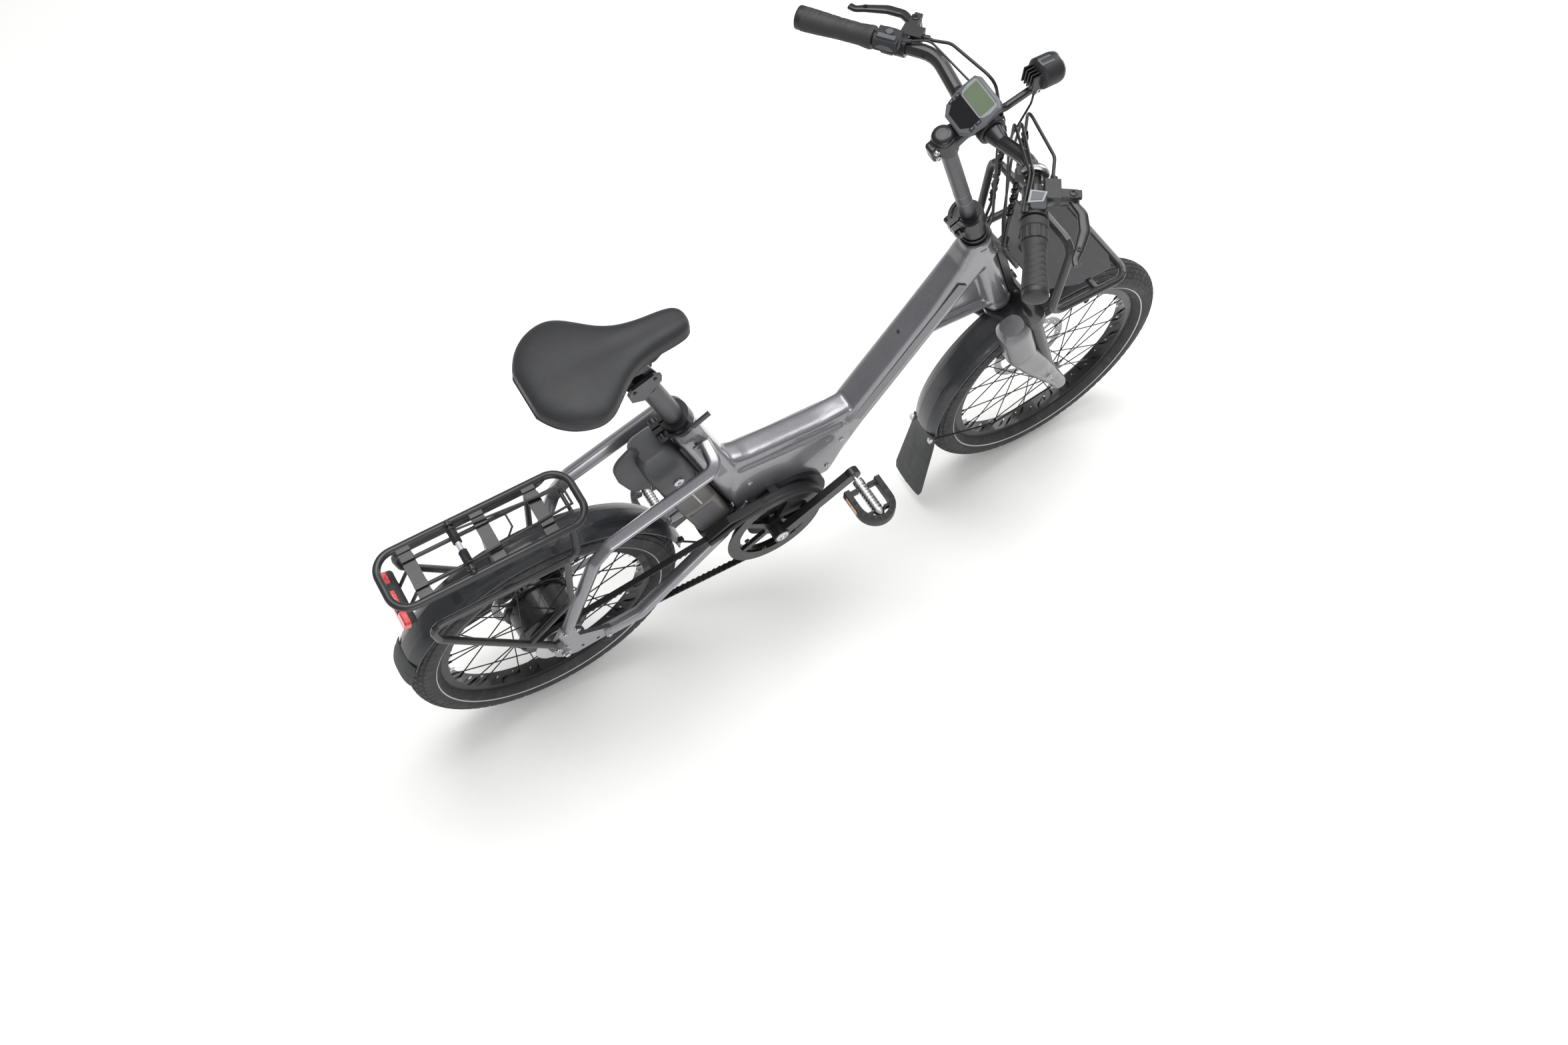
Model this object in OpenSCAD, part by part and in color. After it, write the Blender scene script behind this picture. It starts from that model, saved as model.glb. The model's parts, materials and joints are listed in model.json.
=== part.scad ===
// Compact step-through electric bicycle, 20 inch wheels, belt drive.
// Millimetres. +X forward, +Y to the rider's left, +Z up, ground at Z = 0.

/* [Overall] */
// Distance between the wheel axles
wheelbase = 1077; // [1000:1:1200]
// Outside radius of both tyres
tyre_r = 260; // [245:1:275]
// Width of both tyres
tyre_w = 59; // [45:1:62]

/* [Frame] */
// Steering axis angle from the ground, degrees
head_angle = 69.5; // [67:0.5:73]
// Front axle ahead of the steering axis
fork_offset = 44; // [35:1:55]
// Head tube length
head_len = 236; // [200:1:250]
// Head tube outside radius
head_r = 24; // [22:0.5:28]
// Seat tube angle from the ground, degrees
seat_angle = 70.5; // [68:0.5:74]
// Crank axle ahead of the rear axle
bb_x = 438; // [430:1:460]
// Crank axle height
bb_z = 278; // [265:1:300]
// Height of the seat tube's top
seat_top_z = 706; // [660:1:740]
// Seat tube depth, front to back
seat_tube_d = 48; // [44:1:54]
// Seat tube width
seat_tube_w = 60; // [48:1:64]
// Down tube depth
down_tube_d = 56; // [46:1:64]
// Down tube width
down_tube_w = 56; // [46:1:62]
// Stay tube radius
stay_r = 10; // [8:0.5:11]
// Rear fork width between the dropouts
rear_old = 135; // [130:1:142]

/* [Drive] */
// Crank arm length
crank_len = 170; // [150:1:175]
// Teeth on the front pulley
front_teeth = 50; // [46:1:52]
// Teeth on the rear cog
rear_teeth = 24; // [20:1:28]
// Belt tooth pitch
belt_pitch = 11; // [8:1:11]
// Belt width
belt_w = 11; // [8:1:12]
// Sideways place of the belt's middle, from the centre plane
belt_y = 52; // [51:0.5:54]
// Angle of the right crank above the ground, degrees
crank_angle = 30; // [0:5:90]
// Radius of the motor housing
motor_r = 78; // [70:1:82]

/* [Battery] */
// Battery depth, front to back
battery_d = 70; // [60:1:74]
// Battery width
battery_w = 84; // [70:1:90]
// Battery length
battery_l = 300; // [260:1:310]

/* [Seat] */
// Seatpost radius
post_r = 16.95; // [13.5:0.05:17.2]
// Height of the seatpost head's lower pivots
post_head_z = 846; // [830:1:900]
// Saddle length
saddle_l = 256; // [240:1:280]
// Saddle width
saddle_w = 190; // [160:1:210]

/* [Handlebar] */
// Full width of the handlebar
bar_w = 596; // [560:1:640]
// Handlebar radius at the grips
bar_r = 11.1; // [11:0.1:12]
// Handlebar radius at the stem
bar_clamp_r = 15.9; // [12.7:0.1:15.9]
// Backward sweep of the grips, degrees
bar_sweep = 34.5; // [25:0.5:38]
// Distance from the steering axis to the handlebar
stem_reach = 59; // [50:1:75]
// Distance of the handlebar above the head tube's top, along the steering axis
stem_rise = 285; // [270:1:300]

/* [Racks] */
// Rear rack length
rack_l = 330; // [300:1:340]
// Rear rack width between tube middles
rack_w = 104; // [98:1:120]
// Rear rack height
rack_z = 617; // [610:1:640]
// Front carrier width between tube middles
carrier_w = 216; // [180:1:230]
// Front carrier length between tube middles
carrier_l = 165; // [140:1:180]

/* [Hidden] */
$fn = 48;

// Fits and clearances
run_gap = 0.05;        // radial clearance of a running fit
body_gap = 0.4;        // gap between pieces that move past each other
weld_sink = 1;         // how far a welded end runs into its neighbour
wall = 3;              // wall of the frame's hollow tubes

// Wheels
fender_gap = 14;       // from the tyre to the fender
fender_t = 2;
rim_r = 211;           // outside of the rim's flanges
rim_h = 20;
rim_w = 28;
front_old = 100;
disc_r = 80;
disc_t = 2;
axle_r = 5;
fender_r = tyre_r + fender_gap;
flap_end = 165;        // angle of the rear flap's end from straight ahead
fender_reach = (fender_r + 3) * cos(180 - flap_end);
mid_x = (wheelbase + tyre_r - fender_reach) / 2;

// Seat tube axis
seat_dir = [-cos(seat_angle), 0, sin(seat_angle)];
seat_fwd = [sin(seat_angle), 0, cos(seat_angle)];
seat_base = [bb_x - 55, 0, 400];
function on_seat(z) = seat_base + seat_dir * ((z - seat_base[2]) / seat_dir[2]);
seat_len = (seat_top_z - seat_base[2]) / seat_dir[2];
collar_h = 26;
collar_r = 24;

// Steering axis: local z runs up the axis, local x points forward
steer_tilt = 90 - head_angle;
steer_fwd = [sin(head_angle), 0, cos(head_angle)];
steer_dir = [-cos(head_angle), 0, sin(head_angle)];
steer_base = [wheelbase, 0, tyre_r] - fork_offset * steer_fwd;
head_top_s = 593;
head_bot_s = head_top_s - head_len;
crown_h = 22;
crown_top_s = head_bot_s - 8;
leg_x = 30;
leg_y = 61;
lower_r = 20;
stanchion_r = 14;
lower_top_s = 214;
steerer_r = 14.3;
function steer_pt(x, y, s) = steer_base + steer_fwd * x + steer_dir * s + [0, y, 0];

// Stem
sleeve_r = 19;
sleeve_h = 66;
stem_tube_r = 12.7;
bar_s = head_top_s + stem_rise;
bar_mid = steer_pt(stem_reach, 0, bar_s);

// Handlebar points for one side: clamp, bend, grip start, end
bend_y = 118;
bar_rise = 14;
grip_l = 122;
grip_r = 17;
bar_in = bar_mid + [0, 38, 0];
bar_bend = bar_mid + [5, bend_y, bar_rise];
grip_run = (bar_w / 2 - bend_y) / cos(bar_sweep);
grip_dir = [-sin(bar_sweep), cos(bar_sweep), -0.07] / norm([-sin(bar_sweep), cos(bar_sweep), -0.07]);
bar_end = bar_bend + grip_dir * grip_run;
grip_start = bar_end - grip_dir * grip_l;
grip_fwd = cross(grip_dir, [0, 0, 1]) / norm(cross(grip_dir, [0, 0, 1]));
grip_up = cross(grip_fwd, grip_dir);
lever_clamp_at = 40;   // brake clamp inboard of the grip's start
shifter_l = 34;

// Drive
front_pitch_r = front_teeth * belt_pitch / (2 * PI);
rear_pitch_r = rear_teeth * belt_pitch / (2 * PI);
belt_t = 2.6;
tooth_h = 3;
guard_ring_r = front_pitch_r + 11;
crank_in_y = belt_y + 18;
crank_t = 14;
crank_axle_r = 9;
guard_y = -belt_y - belt_w / 2 - 3.2;
pedal_len = 96;
pedal_d = 74;
pedal_h = 22;
spindle_r = 4.5;
spindle_l = 104;
crank_tip = [crank_len * cos(crank_angle), 0, crank_len * sin(crank_angle)];
bb = [bb_x, 0, bb_z];
motor_c = bb + [38, 0, 22];
motor_w = 84;

// Rack
rack_front = 98;
rack_back = rack_front - rack_l;
rack_tube_r = 6.5;
rail_drop = 50;
rail_y = rear_old / 2 + 6;
clamp_x = rack_back + 130;

// Battery frame: origin on the seat tube axis at the battery's foot
battery_off = seat_tube_d / 2 + 6 + battery_d / 2;
battery_foot_z = 384;
battery_o = on_seat(battery_foot_z) - seat_fwd * battery_off;

// Suspension seatpost pivots
link_l = 46;
link_lean = 26;
pivot_front = on_seat(post_head_z) + [16, 0, 8];
pivot_rear = on_seat(post_head_z) + [-18, 0, -4];
link_vec = [-sin(link_lean), 0, cos(link_lean)] * link_l;
head_front = pivot_front + link_vec;
head_rear = pivot_rear + link_vec;
pin_r = 3;
rail_z = head_front[2] + 16;
saddle_x0 = head_rear[0] - 138;
saddle_base_z = rail_z + 9;
saddle_h = 40;

// Kickstand
kick_pivot = [44, rear_old / 2 + 24, 224];
kick_len = 190;
kick_fold = 19;        // angle of the folded leg below level
kick_foot = kick_pivot + [-cos(kick_fold), 0.06, -sin(kick_fold)] * kick_len;

// Cables: routes picked by hand
cable_r = 2.5;

// ---- helpers ----
function unit(v) = v / norm(v);
module place() { translate([-mid_x, 0, 0]) children(); }
module pose(o, x, y, z) {
  multmatrix([[x[0], y[0], z[0], o[0]], [x[1], y[1], z[1], o[1]], [x[2], y[2], z[2], o[2]], [0, 0, 0, 1]])
    children();
}
module steer() { translate(steer_base) rotate([0, -steer_tilt, 0]) children(); }
module at_seat(z) { translate(on_seat(z)) rotate([0, -(90 - seat_angle), 0]) children(); }
module mirrored(side) { if (side > 0) children(); else mirror([0, 1, 0]) children(); }
// cylinder from a to b
module rod(a, b, r) {
  v = b - a;
  translate(a) rotate([0, acos(v[2] / norm(v)), atan2(v[1], v[0])]) cylinder(r = r, h = norm(v));
}
// cylinder along Y centred on p
module ybar(p, r, y0, y1) { translate([p[0], y0, p[2]]) rotate([-90, 0, 0]) cylinder(r = r, h = y1 - y0); }
// points of a bend of radius br at b, between a and c
bend_steps = 4;
function bend_pts(a, b, c, br) =
  let (u = unit(b - a), v = unit(c - b), th = acos(u * v), n = unit(cross(u, v)), m = cross(n, u),
    o = b - u * br * tan(th / 2) + br * m)
  [for (k = [0:bend_steps]) let (q = th * k / bend_steps) o + br * (sin(q) * u - cos(q) * m)];
function bent_path(pts, br) = [pts[0], for (i = [1:1:len(pts) - 2])
  each bend_pts(pts[i - 1], pts[i], pts[i + 1], br), pts[len(pts) - 1]];
// round tube along points with bends of radius br
pipe_sides = 12;
module pipe(pts, r, br) { sweep(bent_path(pts, br), r, pipe_sides); }
// rectangle with round corners, made of exact shapes
module rrect(w, h, r) {
  square([w - 2 * r, h], center = true);
  square([w, h - 2 * r], center = true);
  for (x = [-1, 1], y = [-1, 1]) translate([x * (w / 2 - r), y * (h / 2 - r)]) circle(r = r);
}
// extrusion from a to b in the centre plane; the profile's y is the bicycle's width
module beam(a, b) {
  z = unit(b - a);
  pose(a, cross([0, 1, 0], z), [0, 1, 0], z) linear_extrude(norm(b - a)) children();
}
// plate in the XZ plane from y0 to y1
module side_plate(y0, y1) { translate([0, y1, 0]) rotate([90, 0, 0]) linear_extrude(y1 - y0) children(); }
// bar with round ends, exact
module slab_2d(l, w) {
  translate([0, -w / 2]) square([l, w]);
  circle(r = w / 2);
  translate([l, 0]) circle(r = w / 2);
}
// tube swept along points as one polyhedron; the rings turn with the path and don't twist
function tangent(pts, i) = unit(pts[min(i + 1, len(pts) - 1)] - pts[max(i - 1, 0)]);
function across(v, t) = unit(v - (v * t) * t);
function side_dirs(pts, i = 0, last = []) = i == len(pts) ? last
  : side_dirs(pts, i + 1, concat(last, [across(i == 0 ? (abs(tangent(pts, 0)[2]) > 0.9 ? [1, 0, 0] : [0, 0, 1])
    : last[i - 1], tangent(pts, i))]));
module sweep(pts, r, n = 8) {
  m = len(pts);
  dirs = side_dirs(pts);
  points = [for (i = [0:m - 1]) let (t = tangent(pts, i), u = dirs[i], v = cross(t, u))
    each [for (k = [0:n - 1]) pts[i] + r * (cos(360 * k / n) * u + sin(360 * k / n) * v)]];
  sides = [for (i = [0:m - 2], k = [0:n - 1]) let (a = i * n + k, b = i * n + (k + 1) % n)
    each [[a, a + n, b + n], [a, b + n, b]]];
  polyhedron(points, concat(sides, [[for (k = [0:n - 1]) k], [for (k = [0:n - 1]) m * n - 1 - k]]));
}

// ---- frame ----
down_top = steer_pt(0, 0, head_top_s - 34);
down_low = [bb_x + 128, 0, bb_z + 98];
beam_back = on_seat(474);
beam_front = down_low + unit(down_top - down_low) * 92;
cradle_w = 68;
module main_frame() color("#7d7e83") place() difference() {
  union() {
    steer() translate([0, 0, head_bot_s]) cylinder(r = head_r, h = head_len);
    beam(down_low, down_top) rrect(down_tube_d, down_tube_w, 12);
    // gusset under the down tube
    side_plate(-18, 18) polygon([
      for (p = [steer_pt(0, 0, head_bot_s + 12), steer_pt(0, 0, head_top_s - 60)]) [p[0], p[2]],
      for (p = [down_top - (down_top - down_low) * 0.42]) [p[0], p[2]]]);
    beam(beam_back, beam_front) rrect(52, 46, 11);
    beam(seat_base - seat_dir * 4, on_seat(seat_top_z - collar_h)) rrect(seat_tube_d, seat_tube_w, 11);
    beam(on_seat(seat_top_z - collar_h - weld_sink), on_seat(seat_top_z)) circle(r = collar_r - 3);
    // motor cradle
    side_plate(-cradle_w / 2, cradle_w / 2) polygon([[bb_x - 76, 402], [bb_x - 62, 482], [bb_x + 150, 462], [bb_x + 172, 430],
      [bb_x + 142, 350], [bb_x + 128, bb_z + 46], [bb_x + 98, bb_z + 46], [bb_x - 30, bb_z + 62],
      [bb_x - 66, bb_z + 78]]);
  }
  steer() translate([0, 0, head_bot_s - 1]) cylinder(r = steerer_r + 4, h = head_len + 2);
  at_seat(seat_top_z - 262) cylinder(r = post_r + run_gap, h = 262 / seat_dir[2] + 2);
  // hollow tubes
  beam(down_low + unit(down_top - down_low) * 20, down_top - unit(down_top - down_low) * 34)
    rrect(down_tube_d - 2 * wall, down_tube_w - 2 * wall, 12 - wall);
  beam(beam_back + unit(beam_front - beam_back) * 36, beam_front - unit(beam_front - beam_back) * 30)
    rrect(52 - 2 * wall, 46 - 2 * wall, 11 - wall);
  difference() {
    beam(on_seat(484), on_seat(seat_top_z - collar_h) - seat_dir * 6)
      rrect(seat_tube_d - 2 * wall, seat_tube_w - 2 * wall, 11 - wall);
    at_seat(430) cylinder(r = post_r + wall, h = 400);
  }
  side_plate(wall - cradle_w / 2, cradle_w / 2 - wall) polygon([[bb_x - 56, 404], [bb_x - 46, 450], [bb_x + 120, 446],
    [bb_x + 160, 420], [bb_x + 136, 388], [bb_x + 60, 384], [bb_x - 20, 384]]);
  ybar(motor_c, motor_r, -60, 60);
  ybar(bb, 47, -60, 60);
}
// one side's upper stay, chainstay and dropout
module rear_stays(side) {
  stay_y = rear_old / 2 + 4;
  y_up = stay_y + 2;
  start = on_seat(624) + [10, seat_tube_w / 2 - weld_sink, 0];
  difference() {
    union() {
      mirrored(side) {
        pipe([start, on_seat(618) + [6, y_up, 0], [112, y_up, 545], [82, y_up, 512], [14, stay_y, 322]],
          stay_r, 22);
        pipe([[bb_x - 40, 26, 356], [bb_x - 98, 40, 318], [bb_x - 190, 53, 274], [150, stay_y, 242],
          [78, stay_y, 240]], stay_r, 26);
        side_plate(rear_old / 2, rear_old / 2 + 8) polygon([[-18, 246], [-22, 282], [2, 334], [26, 328],
          [32, 284], [92, 252], [92, 228], [20, 222], [-6, 232]]);
      }
    }
    ybar([0, 0, tyre_r], axle_r + run_gap, -120, 120);
    if (side < 0) {
      ybar([34, 0, 238], 3.3, -120, -20);
      ybar([64, 0, 236], 3.3, -120, -20);
    }
  }
}
module right_rear_stays() color("#7d7e83") place() rear_stays(-1);
module left_rear_stays() color("#7d7e83") place() {
  rear_stays(1);
  // kickstand block under the left chainstay's end
  difference() {
    translate([kick_pivot[0] - 16, rear_old / 2 + 7, kick_pivot[2] - 14]) cube([32, 8, 30]);
    ybar(kick_pivot, 4 + run_gap, 60, 120);
  }
}
module drive_motor() color("#232427") place() difference() {
  union() {
    ybar(motor_c, motor_r, -motor_w / 2, motor_w / 2);
    ybar(bb, 46, -motor_w / 2 + 1, motor_w / 2 - 1);
    ybar(bb, 20, -motor_w / 2 - 3, motor_w / 2 + 3);
    for (s = [-1, 1]) ybar(motor_c, motor_r - 14, min(s * (motor_w / 2 + 3), 0), max(s * (motor_w / 2 + 3), 0));
  }
  ybar(bb, crank_axle_r + run_gap, -100, 100);
}
module belt_guard() color("#1b1c1f") place() {
  r0 = guard_ring_r + 4;
  y0 = -belt_y - belt_w / 2 - 4;
  difference() {
    union() {
      difference() {
        ybar(bb, r0 + 3, y0, -motor_w / 2 - 4);
        ybar(bb, r0, y0 - 1, 0);
        translate(bb + [-300, -200, -300]) cube([300, 400, 386]);
        translate(bb + [-1, -200, -300]) cube([300, 400, 322]);
      }
      // strip that runs back over the belt's upper run
      side_plate(y0, -motor_w / 2 - 4) polygon([[bb_x - 138, 352], [bb_x - 138, 355], [bb_x - 96, 380],
        [bb_x - 40, bb_z + r0 + 1], [bb_x, bb_z + r0 + 3], [bb_x, bb_z + r0], [bb_x - 40, bb_z + r0 - 7],
        [bb_x - 94, 374]]);
    }
    ybar(bb, r0 - 0.01, y0 - 1, 0);
  }
  // arm to the motor cradle, over the pulley
  translate([bb_x - 6, -belt_y, bb_z + r0 + 0.5]) cube([16, belt_y - cradle_w / 2 + weld_sink, 4.5]);
}
module battery_frame() { translate(battery_o) rotate([0, -(90 - seat_angle), 0]) children(); }
module battery_dock() color("#1c1d1f") place() battery_frame() {
  // rail on the back of the seat tube
  translate([battery_d / 2 + 1, -15, -22]) cube([battery_off - battery_d / 2 - seat_tube_d / 2 - 1, 30, 282]);
  // tray under the battery
  difference() {
    translate([-battery_d / 2 - 1, -battery_w / 2 + 2, -22]) cube([battery_d + 4, battery_w - 4, 21.5]);
    translate([-battery_d / 2 + 4, -battery_w / 2 + 8, -30]) cube([battery_d - 22, battery_w - 16, 24]);
    translate([-battery_d / 2 - 10, -battery_w / 2 + 8, -30]) cube([20, battery_w - 16, 15]);
  }
}
module battery_case() color("#6c6c6b") place() battery_frame() difference() {
  union() {
    linear_extrude(battery_l) rrect(battery_d, battery_w, 14);
    translate([0, 0, battery_l]) linear_extrude(12) rrect(battery_d - 14, battery_w - 14, 10);
    // hooked carrying grip on the back of the top
    translate([-battery_d / 2 - 17, -30, battery_l - 100]) cube([9, 60, 92]);
    for (z = [battery_l - 100, battery_l - 17]) translate([-battery_d / 2 - 17, -30, z]) cube([20, 60, 9]);
  }
  // step that hangs on the tray
  translate([-8, -20, -1]) cube([30, 40, 4]);
}
module seat_collar() color("#1c1c1e") place() at_seat(seat_top_z - collar_h) {
  difference() {
    union() {
      translate([0, 0, 2]) cylinder(r = collar_r + 2, h = collar_h + 2);
      translate([-collar_r - 18, -10, 4]) cube([24, 20, 20]);
    }
    translate([0, 0, 1]) cylinder(r = collar_r - 3, h = collar_h - 1);
    cylinder(r = post_r + 0.3, h = collar_h + 10);
    translate([-60, -1.5, 0]) cube([50, 3, 60]);
    translate([-collar_r - 10, -40, 14]) rotate([-90, 0, 0]) cylinder(r = 3 + run_gap, h = 80);
  }
  // knurled nut on the left
  translate([-collar_r - 10, 11, 14]) rotate([-90, 0, 0]) difference() {
    cylinder(r = 8, h = 9, $fn = 48);
    translate([0, 0, -1]) cylinder(r = 3 + run_gap, h = 12);
  }
}
module seat_lever() color("#2a2b2d") place() at_seat(seat_top_z - collar_h) {
  o = [-collar_r - 10, 0, 14];
  translate(o + [0, 20, 0]) rotate([90, 0, 0]) cylinder(r = 3, h = 38);
  translate(o + [0, -11.5, 0]) rotate([90, 0, 0]) cylinder(r = 7, h = 9);
  // blade hugging the collar's right side
  translate([0, 0, 9]) linear_extrude(10) {
    difference() {
      circle(r = collar_r + 10);
      circle(r = collar_r + 5);
      translate([-60, -12]) square([120, 80]);
      translate([16, -60]) square([60, 60]);
    }
    translate([14, -collar_r - 9]) rotate(5) square([34, 4.5]);
  }
  translate(o + [-2, -20, -4]) cube([8, 8, 8]);
}
module seatpost() color("#3a3c3f") place() difference() {
  union() {
    at_seat(seat_top_z - 190) cylinder(r = post_r, h = (post_head_z - 14 - seat_top_z + 190) / seat_dir[2]);
    // fork-shaped base of the suspension head
    for (s = [-1, 1]) translate([0, s * 15, 0]) side_plate(-3, 3) polygon([
      [pivot_rear[0] - 11, pivot_rear[2] - 4], [pivot_rear[0] - 4, pivot_rear[2] + 9],
      [pivot_front[0] - 2, pivot_front[2] + 11], [pivot_front[0] + 11, pivot_front[2] + 2],
      [pivot_front[0] + 10, pivot_front[2] - 12], [pivot_rear[0] + 14, pivot_rear[2] - 30],
      [pivot_rear[0] - 6, pivot_rear[2] - 22]]);
    at_seat(post_head_z - 32) cylinder(r = post_r + 1.5, h = 10);
  }
  for (p = [pivot_front, pivot_rear]) ybar(p, pin_r + run_gap, -30, 30);
}
// a suspension link with its pin at the lower pivot
module susp_link(low, high, half) {
  difference() {
    union() {
      for (s = [-1, 1]) translate([0, s * half, 0]) pose([low[0], 0, low[2]], unit(high - low),
        cross([0, 1, 0], unit(high - low)) * -1, [0, -1, 0]) translate([0, 0, -2]) linear_extrude(4)
        slab_2d(norm(high - low), 14);
    }
    ybar(high, pin_r + run_gap, -30, 30);
  }
  ybar(low, pin_r, -19.5, 19.5);
}
module link_front() color("#2b2c2f") place() susp_link(pivot_front, head_front, 9.4);
module link_rear() color("#2b2c2f") place() susp_link(pivot_rear, head_rear, 9.4);
module saddle_head() color("#2b2c2f") place() {
  difference() {
    side_plate(-7, 7) polygon([[head_rear[0] - 9, head_rear[2] - 3], [head_rear[0] - 8, rail_z - 6],
      [head_front[0] + 12, rail_z - 6], [head_front[0] + 9, head_front[2] - 6], [head_front[0] - 6,
      head_front[2] - 8], [head_rear[0] + 6, head_rear[2] - 9]]);
    for (x = [-1, 1]) translate([head_rear[0] + 6, x * 22, rail_z]) rotate([0, 90, 0])
      cylinder(r = 3.5 + run_gap, h = 200, center = true);
  }
  for (p = [head_front]) ybar(p, pin_r, -19.5, 19.5);
  for (x = [-1, 1]) translate([head_rear[0] - 6, x * 22, 0]) difference() {
    translate([0, -8, rail_z - 8]) cube([38, 16, 15]);
    translate([-1, 0, rail_z]) rotate([0, 90, 0]) cylinder(r = 3.5, h = 60);
  }
  translate([head_rear[0] - 6, -28, rail_z - 8.4]) cube([38, 56, 4]);
}
spring_turns = 6;
spring_steps = 10;
module suspension_spring() color("#c9cacc") place() {
  a = pivot_front + [-7, 0, 14];
  b = head_rear + [10, 0, -18];
  u = unit(b - a);
  v = [u[2], 0, -u[0]];
  sweep([for (k = [0:spring_turns * spring_steps]) let (q = 360 * k / spring_steps)
    a + (b - a) * k / (spring_turns * spring_steps) + 5.8 * (cos(q) * v + sin(q) * [0, 1, 0])], 1, 6);
}
module saddle_rails() color("#2c2d2f") place() for (s = [-1, 1]) mirrored(s)
  pipe([[saddle_x0 + 44, 34, saddle_base_z - 2], [saddle_x0 + 62, 30, saddle_base_z - 6],
    [saddle_x0 + 92, 22, rail_z], [saddle_x0 + 190, 22, rail_z], [saddle_x0 + 226, 9, saddle_base_z - 3],
    [saddle_x0 + 238, 6, saddle_base_z + 2]], 3.5, 12);
// outline half widths along the saddle: position, half width, top height
saddle_rib = [[0.0, 0.44, 30], [0.06, 0.66, 36], [0.14, 0.86, 40], [0.28, 1.0, 40], [0.38, 0.9, 38],
  [0.48, 0.62, 36], [0.58, 0.40, 35], [0.72, 0.30, 35], [0.88, 0.27, 36], [0.97, 0.21, 33], [1.0, 0.12, 27]];
saddle_n = 20;
module saddle_pad() color("#2b2c2e") place() {
  m = len(saddle_rib);
  points = [for (r = saddle_rib) each [for (k = [0:saddle_n - 1]) let (a = 360 * k / saddle_n, c = cos(a),
      s = sin(a), w = r[1] * saddle_w / 2, x = saddle_x0 + r[0] * saddle_l)
    [x, w * sign(c) * pow(abs(c), 0.8), saddle_base_z + (s > 0 ? 8 + (r[2] - 8) * pow(s, 0.55)
      : 8 + 5 * s)]]];
  sides = [for (i = [0:m - 2], k = [0:saddle_n - 1]) each let (a = i * saddle_n + k,
      b = i * saddle_n + (k + 1) % saddle_n) [[b, a, a + saddle_n], [b, a + saddle_n, b + saddle_n]]];
  difference() {
    polyhedron(points, concat(sides, [[for (k = [0:saddle_n - 1]) k]],
      [[for (k = [0:saddle_n - 1]) m * saddle_n - 1 - k]]));
    // room for the ends of the rails
    translate([saddle_x0 + 36, -40, saddle_base_z - 10]) cube([30, 80, 14.4]);
    translate([saddle_x0 + 218, -14, saddle_base_z - 10]) cube([28, 28, 16]);
  }
}

// ---- rear rack, light and fender ----
module closed_loop(x0, x1, w, z, r, br) {
  // rounded rectangle of tube in a level plane
  for (y = [-w / 2, w / 2]) rod([x0 + br, y, z], [x1 - br, y, z], r);
  for (x = [x0, x1]) rod([x, -w / 2 + br, z], [x, w / 2 - br, z], r);
  for (c = [[x1, 1, 0], [x0, 1, 90], [x0, -1, 180], [x1, -1, 270]])
    translate([c[0] + (c[0] == x1 ? -br : br), c[1] * (w / 2 - br), z]) rotate([0, 0, c[2]])
      rotate_extrude(angle = 90) translate([br, 0]) circle(r = r);
}
rack_plate_x = [rack_back + 52, rack_back + 176, rack_back + 266];
module rack_frame() color("#1a1b1d") place() {
  closed_loop(rack_back, rack_front, rack_w, rack_z, rack_tube_r, 34);
  for (s = [-1, 1]) mirrored(s) {
    // pannier rail that bends down to the dropout
    pipe([[rack_front - 34, rack_w / 2, rack_z], [rack_front - 40, rail_y, rack_z - rail_drop],
      [rack_back + 34, rail_y, rack_z - rail_drop], [rack_back + 42, rail_y, rack_z - rail_drop - 48],
      [-16, rail_y + 5, tyre_r + 42]], rack_tube_r, 20);
    pipe([[rack_front - 60, rail_y, rack_z - rail_drop - 4], [30, rail_y + 3, 430],
      [-60, rail_y + 4, tyre_r + 92]], rack_tube_r - 1, 30);
    // inner rails
    rod([rack_back + 44, 26, rack_z - 3], [rack_front - 22, 26, rack_z - 3], 3.5);
    // foot at the dropout
    side_plate(rail_y + 2, rail_y + 8) polygon([[-24, tyre_r + 24], [-30, tyre_r + 48], [-6, tyre_r + 50],
      [0, tyre_r + 28]]);
  }
  rod([rack_front - 22, -26, rack_z - 3], [rack_front - 22, 26, rack_z - 3], 3.5);
  for (x = rack_plate_x) translate([x - 11, -rack_w / 2, rack_z - 1]) cube([22, rack_w, 2]);
  // cross rod that the luggage clamp turns on
  ybar([clamp_x, 0, rack_z + 9], 4, -rack_w / 2, rack_w / 2);
  // fender bracket and light bracket
  difference() {
    translate([rack_plate_x[1] - 9, -13, tyre_r + fender_r - 10]) cube([18, 26, rack_z - fender_r - tyre_r + 9.5]);
    ybar([0, 0, tyre_r], fender_r + 2, -20, 20);
  }
  for (y = [-20, 20]) rod([rack_back + 54, y, rack_z - 2], [rack_back + 24, y, rack_z - 58], 3);
}
tail_o = [rack_back + 11, 0, rack_z - 56];
module tail_light() color("#b3151a") place() translate(tail_o) rotate([0, 12, 0]) {
  difference() {
    translate([-10, -52, -12]) cube([24, 104, 24]);
    translate([-11, -46, -8]) cube([8, 92, 16]);
  }
  translate([-9, -45.6, -7.6]) cube([6, 91.2, 15.2]);
}
module fender_arc(r0, w, a0, a1) {
  h = w / 2;
  t = fender_t;
  rotate([90, 0, 0]) rotate([0, 0, a0]) rotate_extrude(angle = a1 - a0)
    polygon([[r0 - 2, -h], [r0 + 1, -h], [r0 + 6 + t, 8 - h], [r0 + 6 + t, h - 8], [r0 + 1, h], [r0 - 2, h],
      [r0 - 2, h - t], [r0 + 0.2, h - t], [r0 + 6, h - 8.6], [r0 + 6, 8.6 - h], [r0 + 0.2, t - h],
      [r0 - 2, t - h]]);
}
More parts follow.
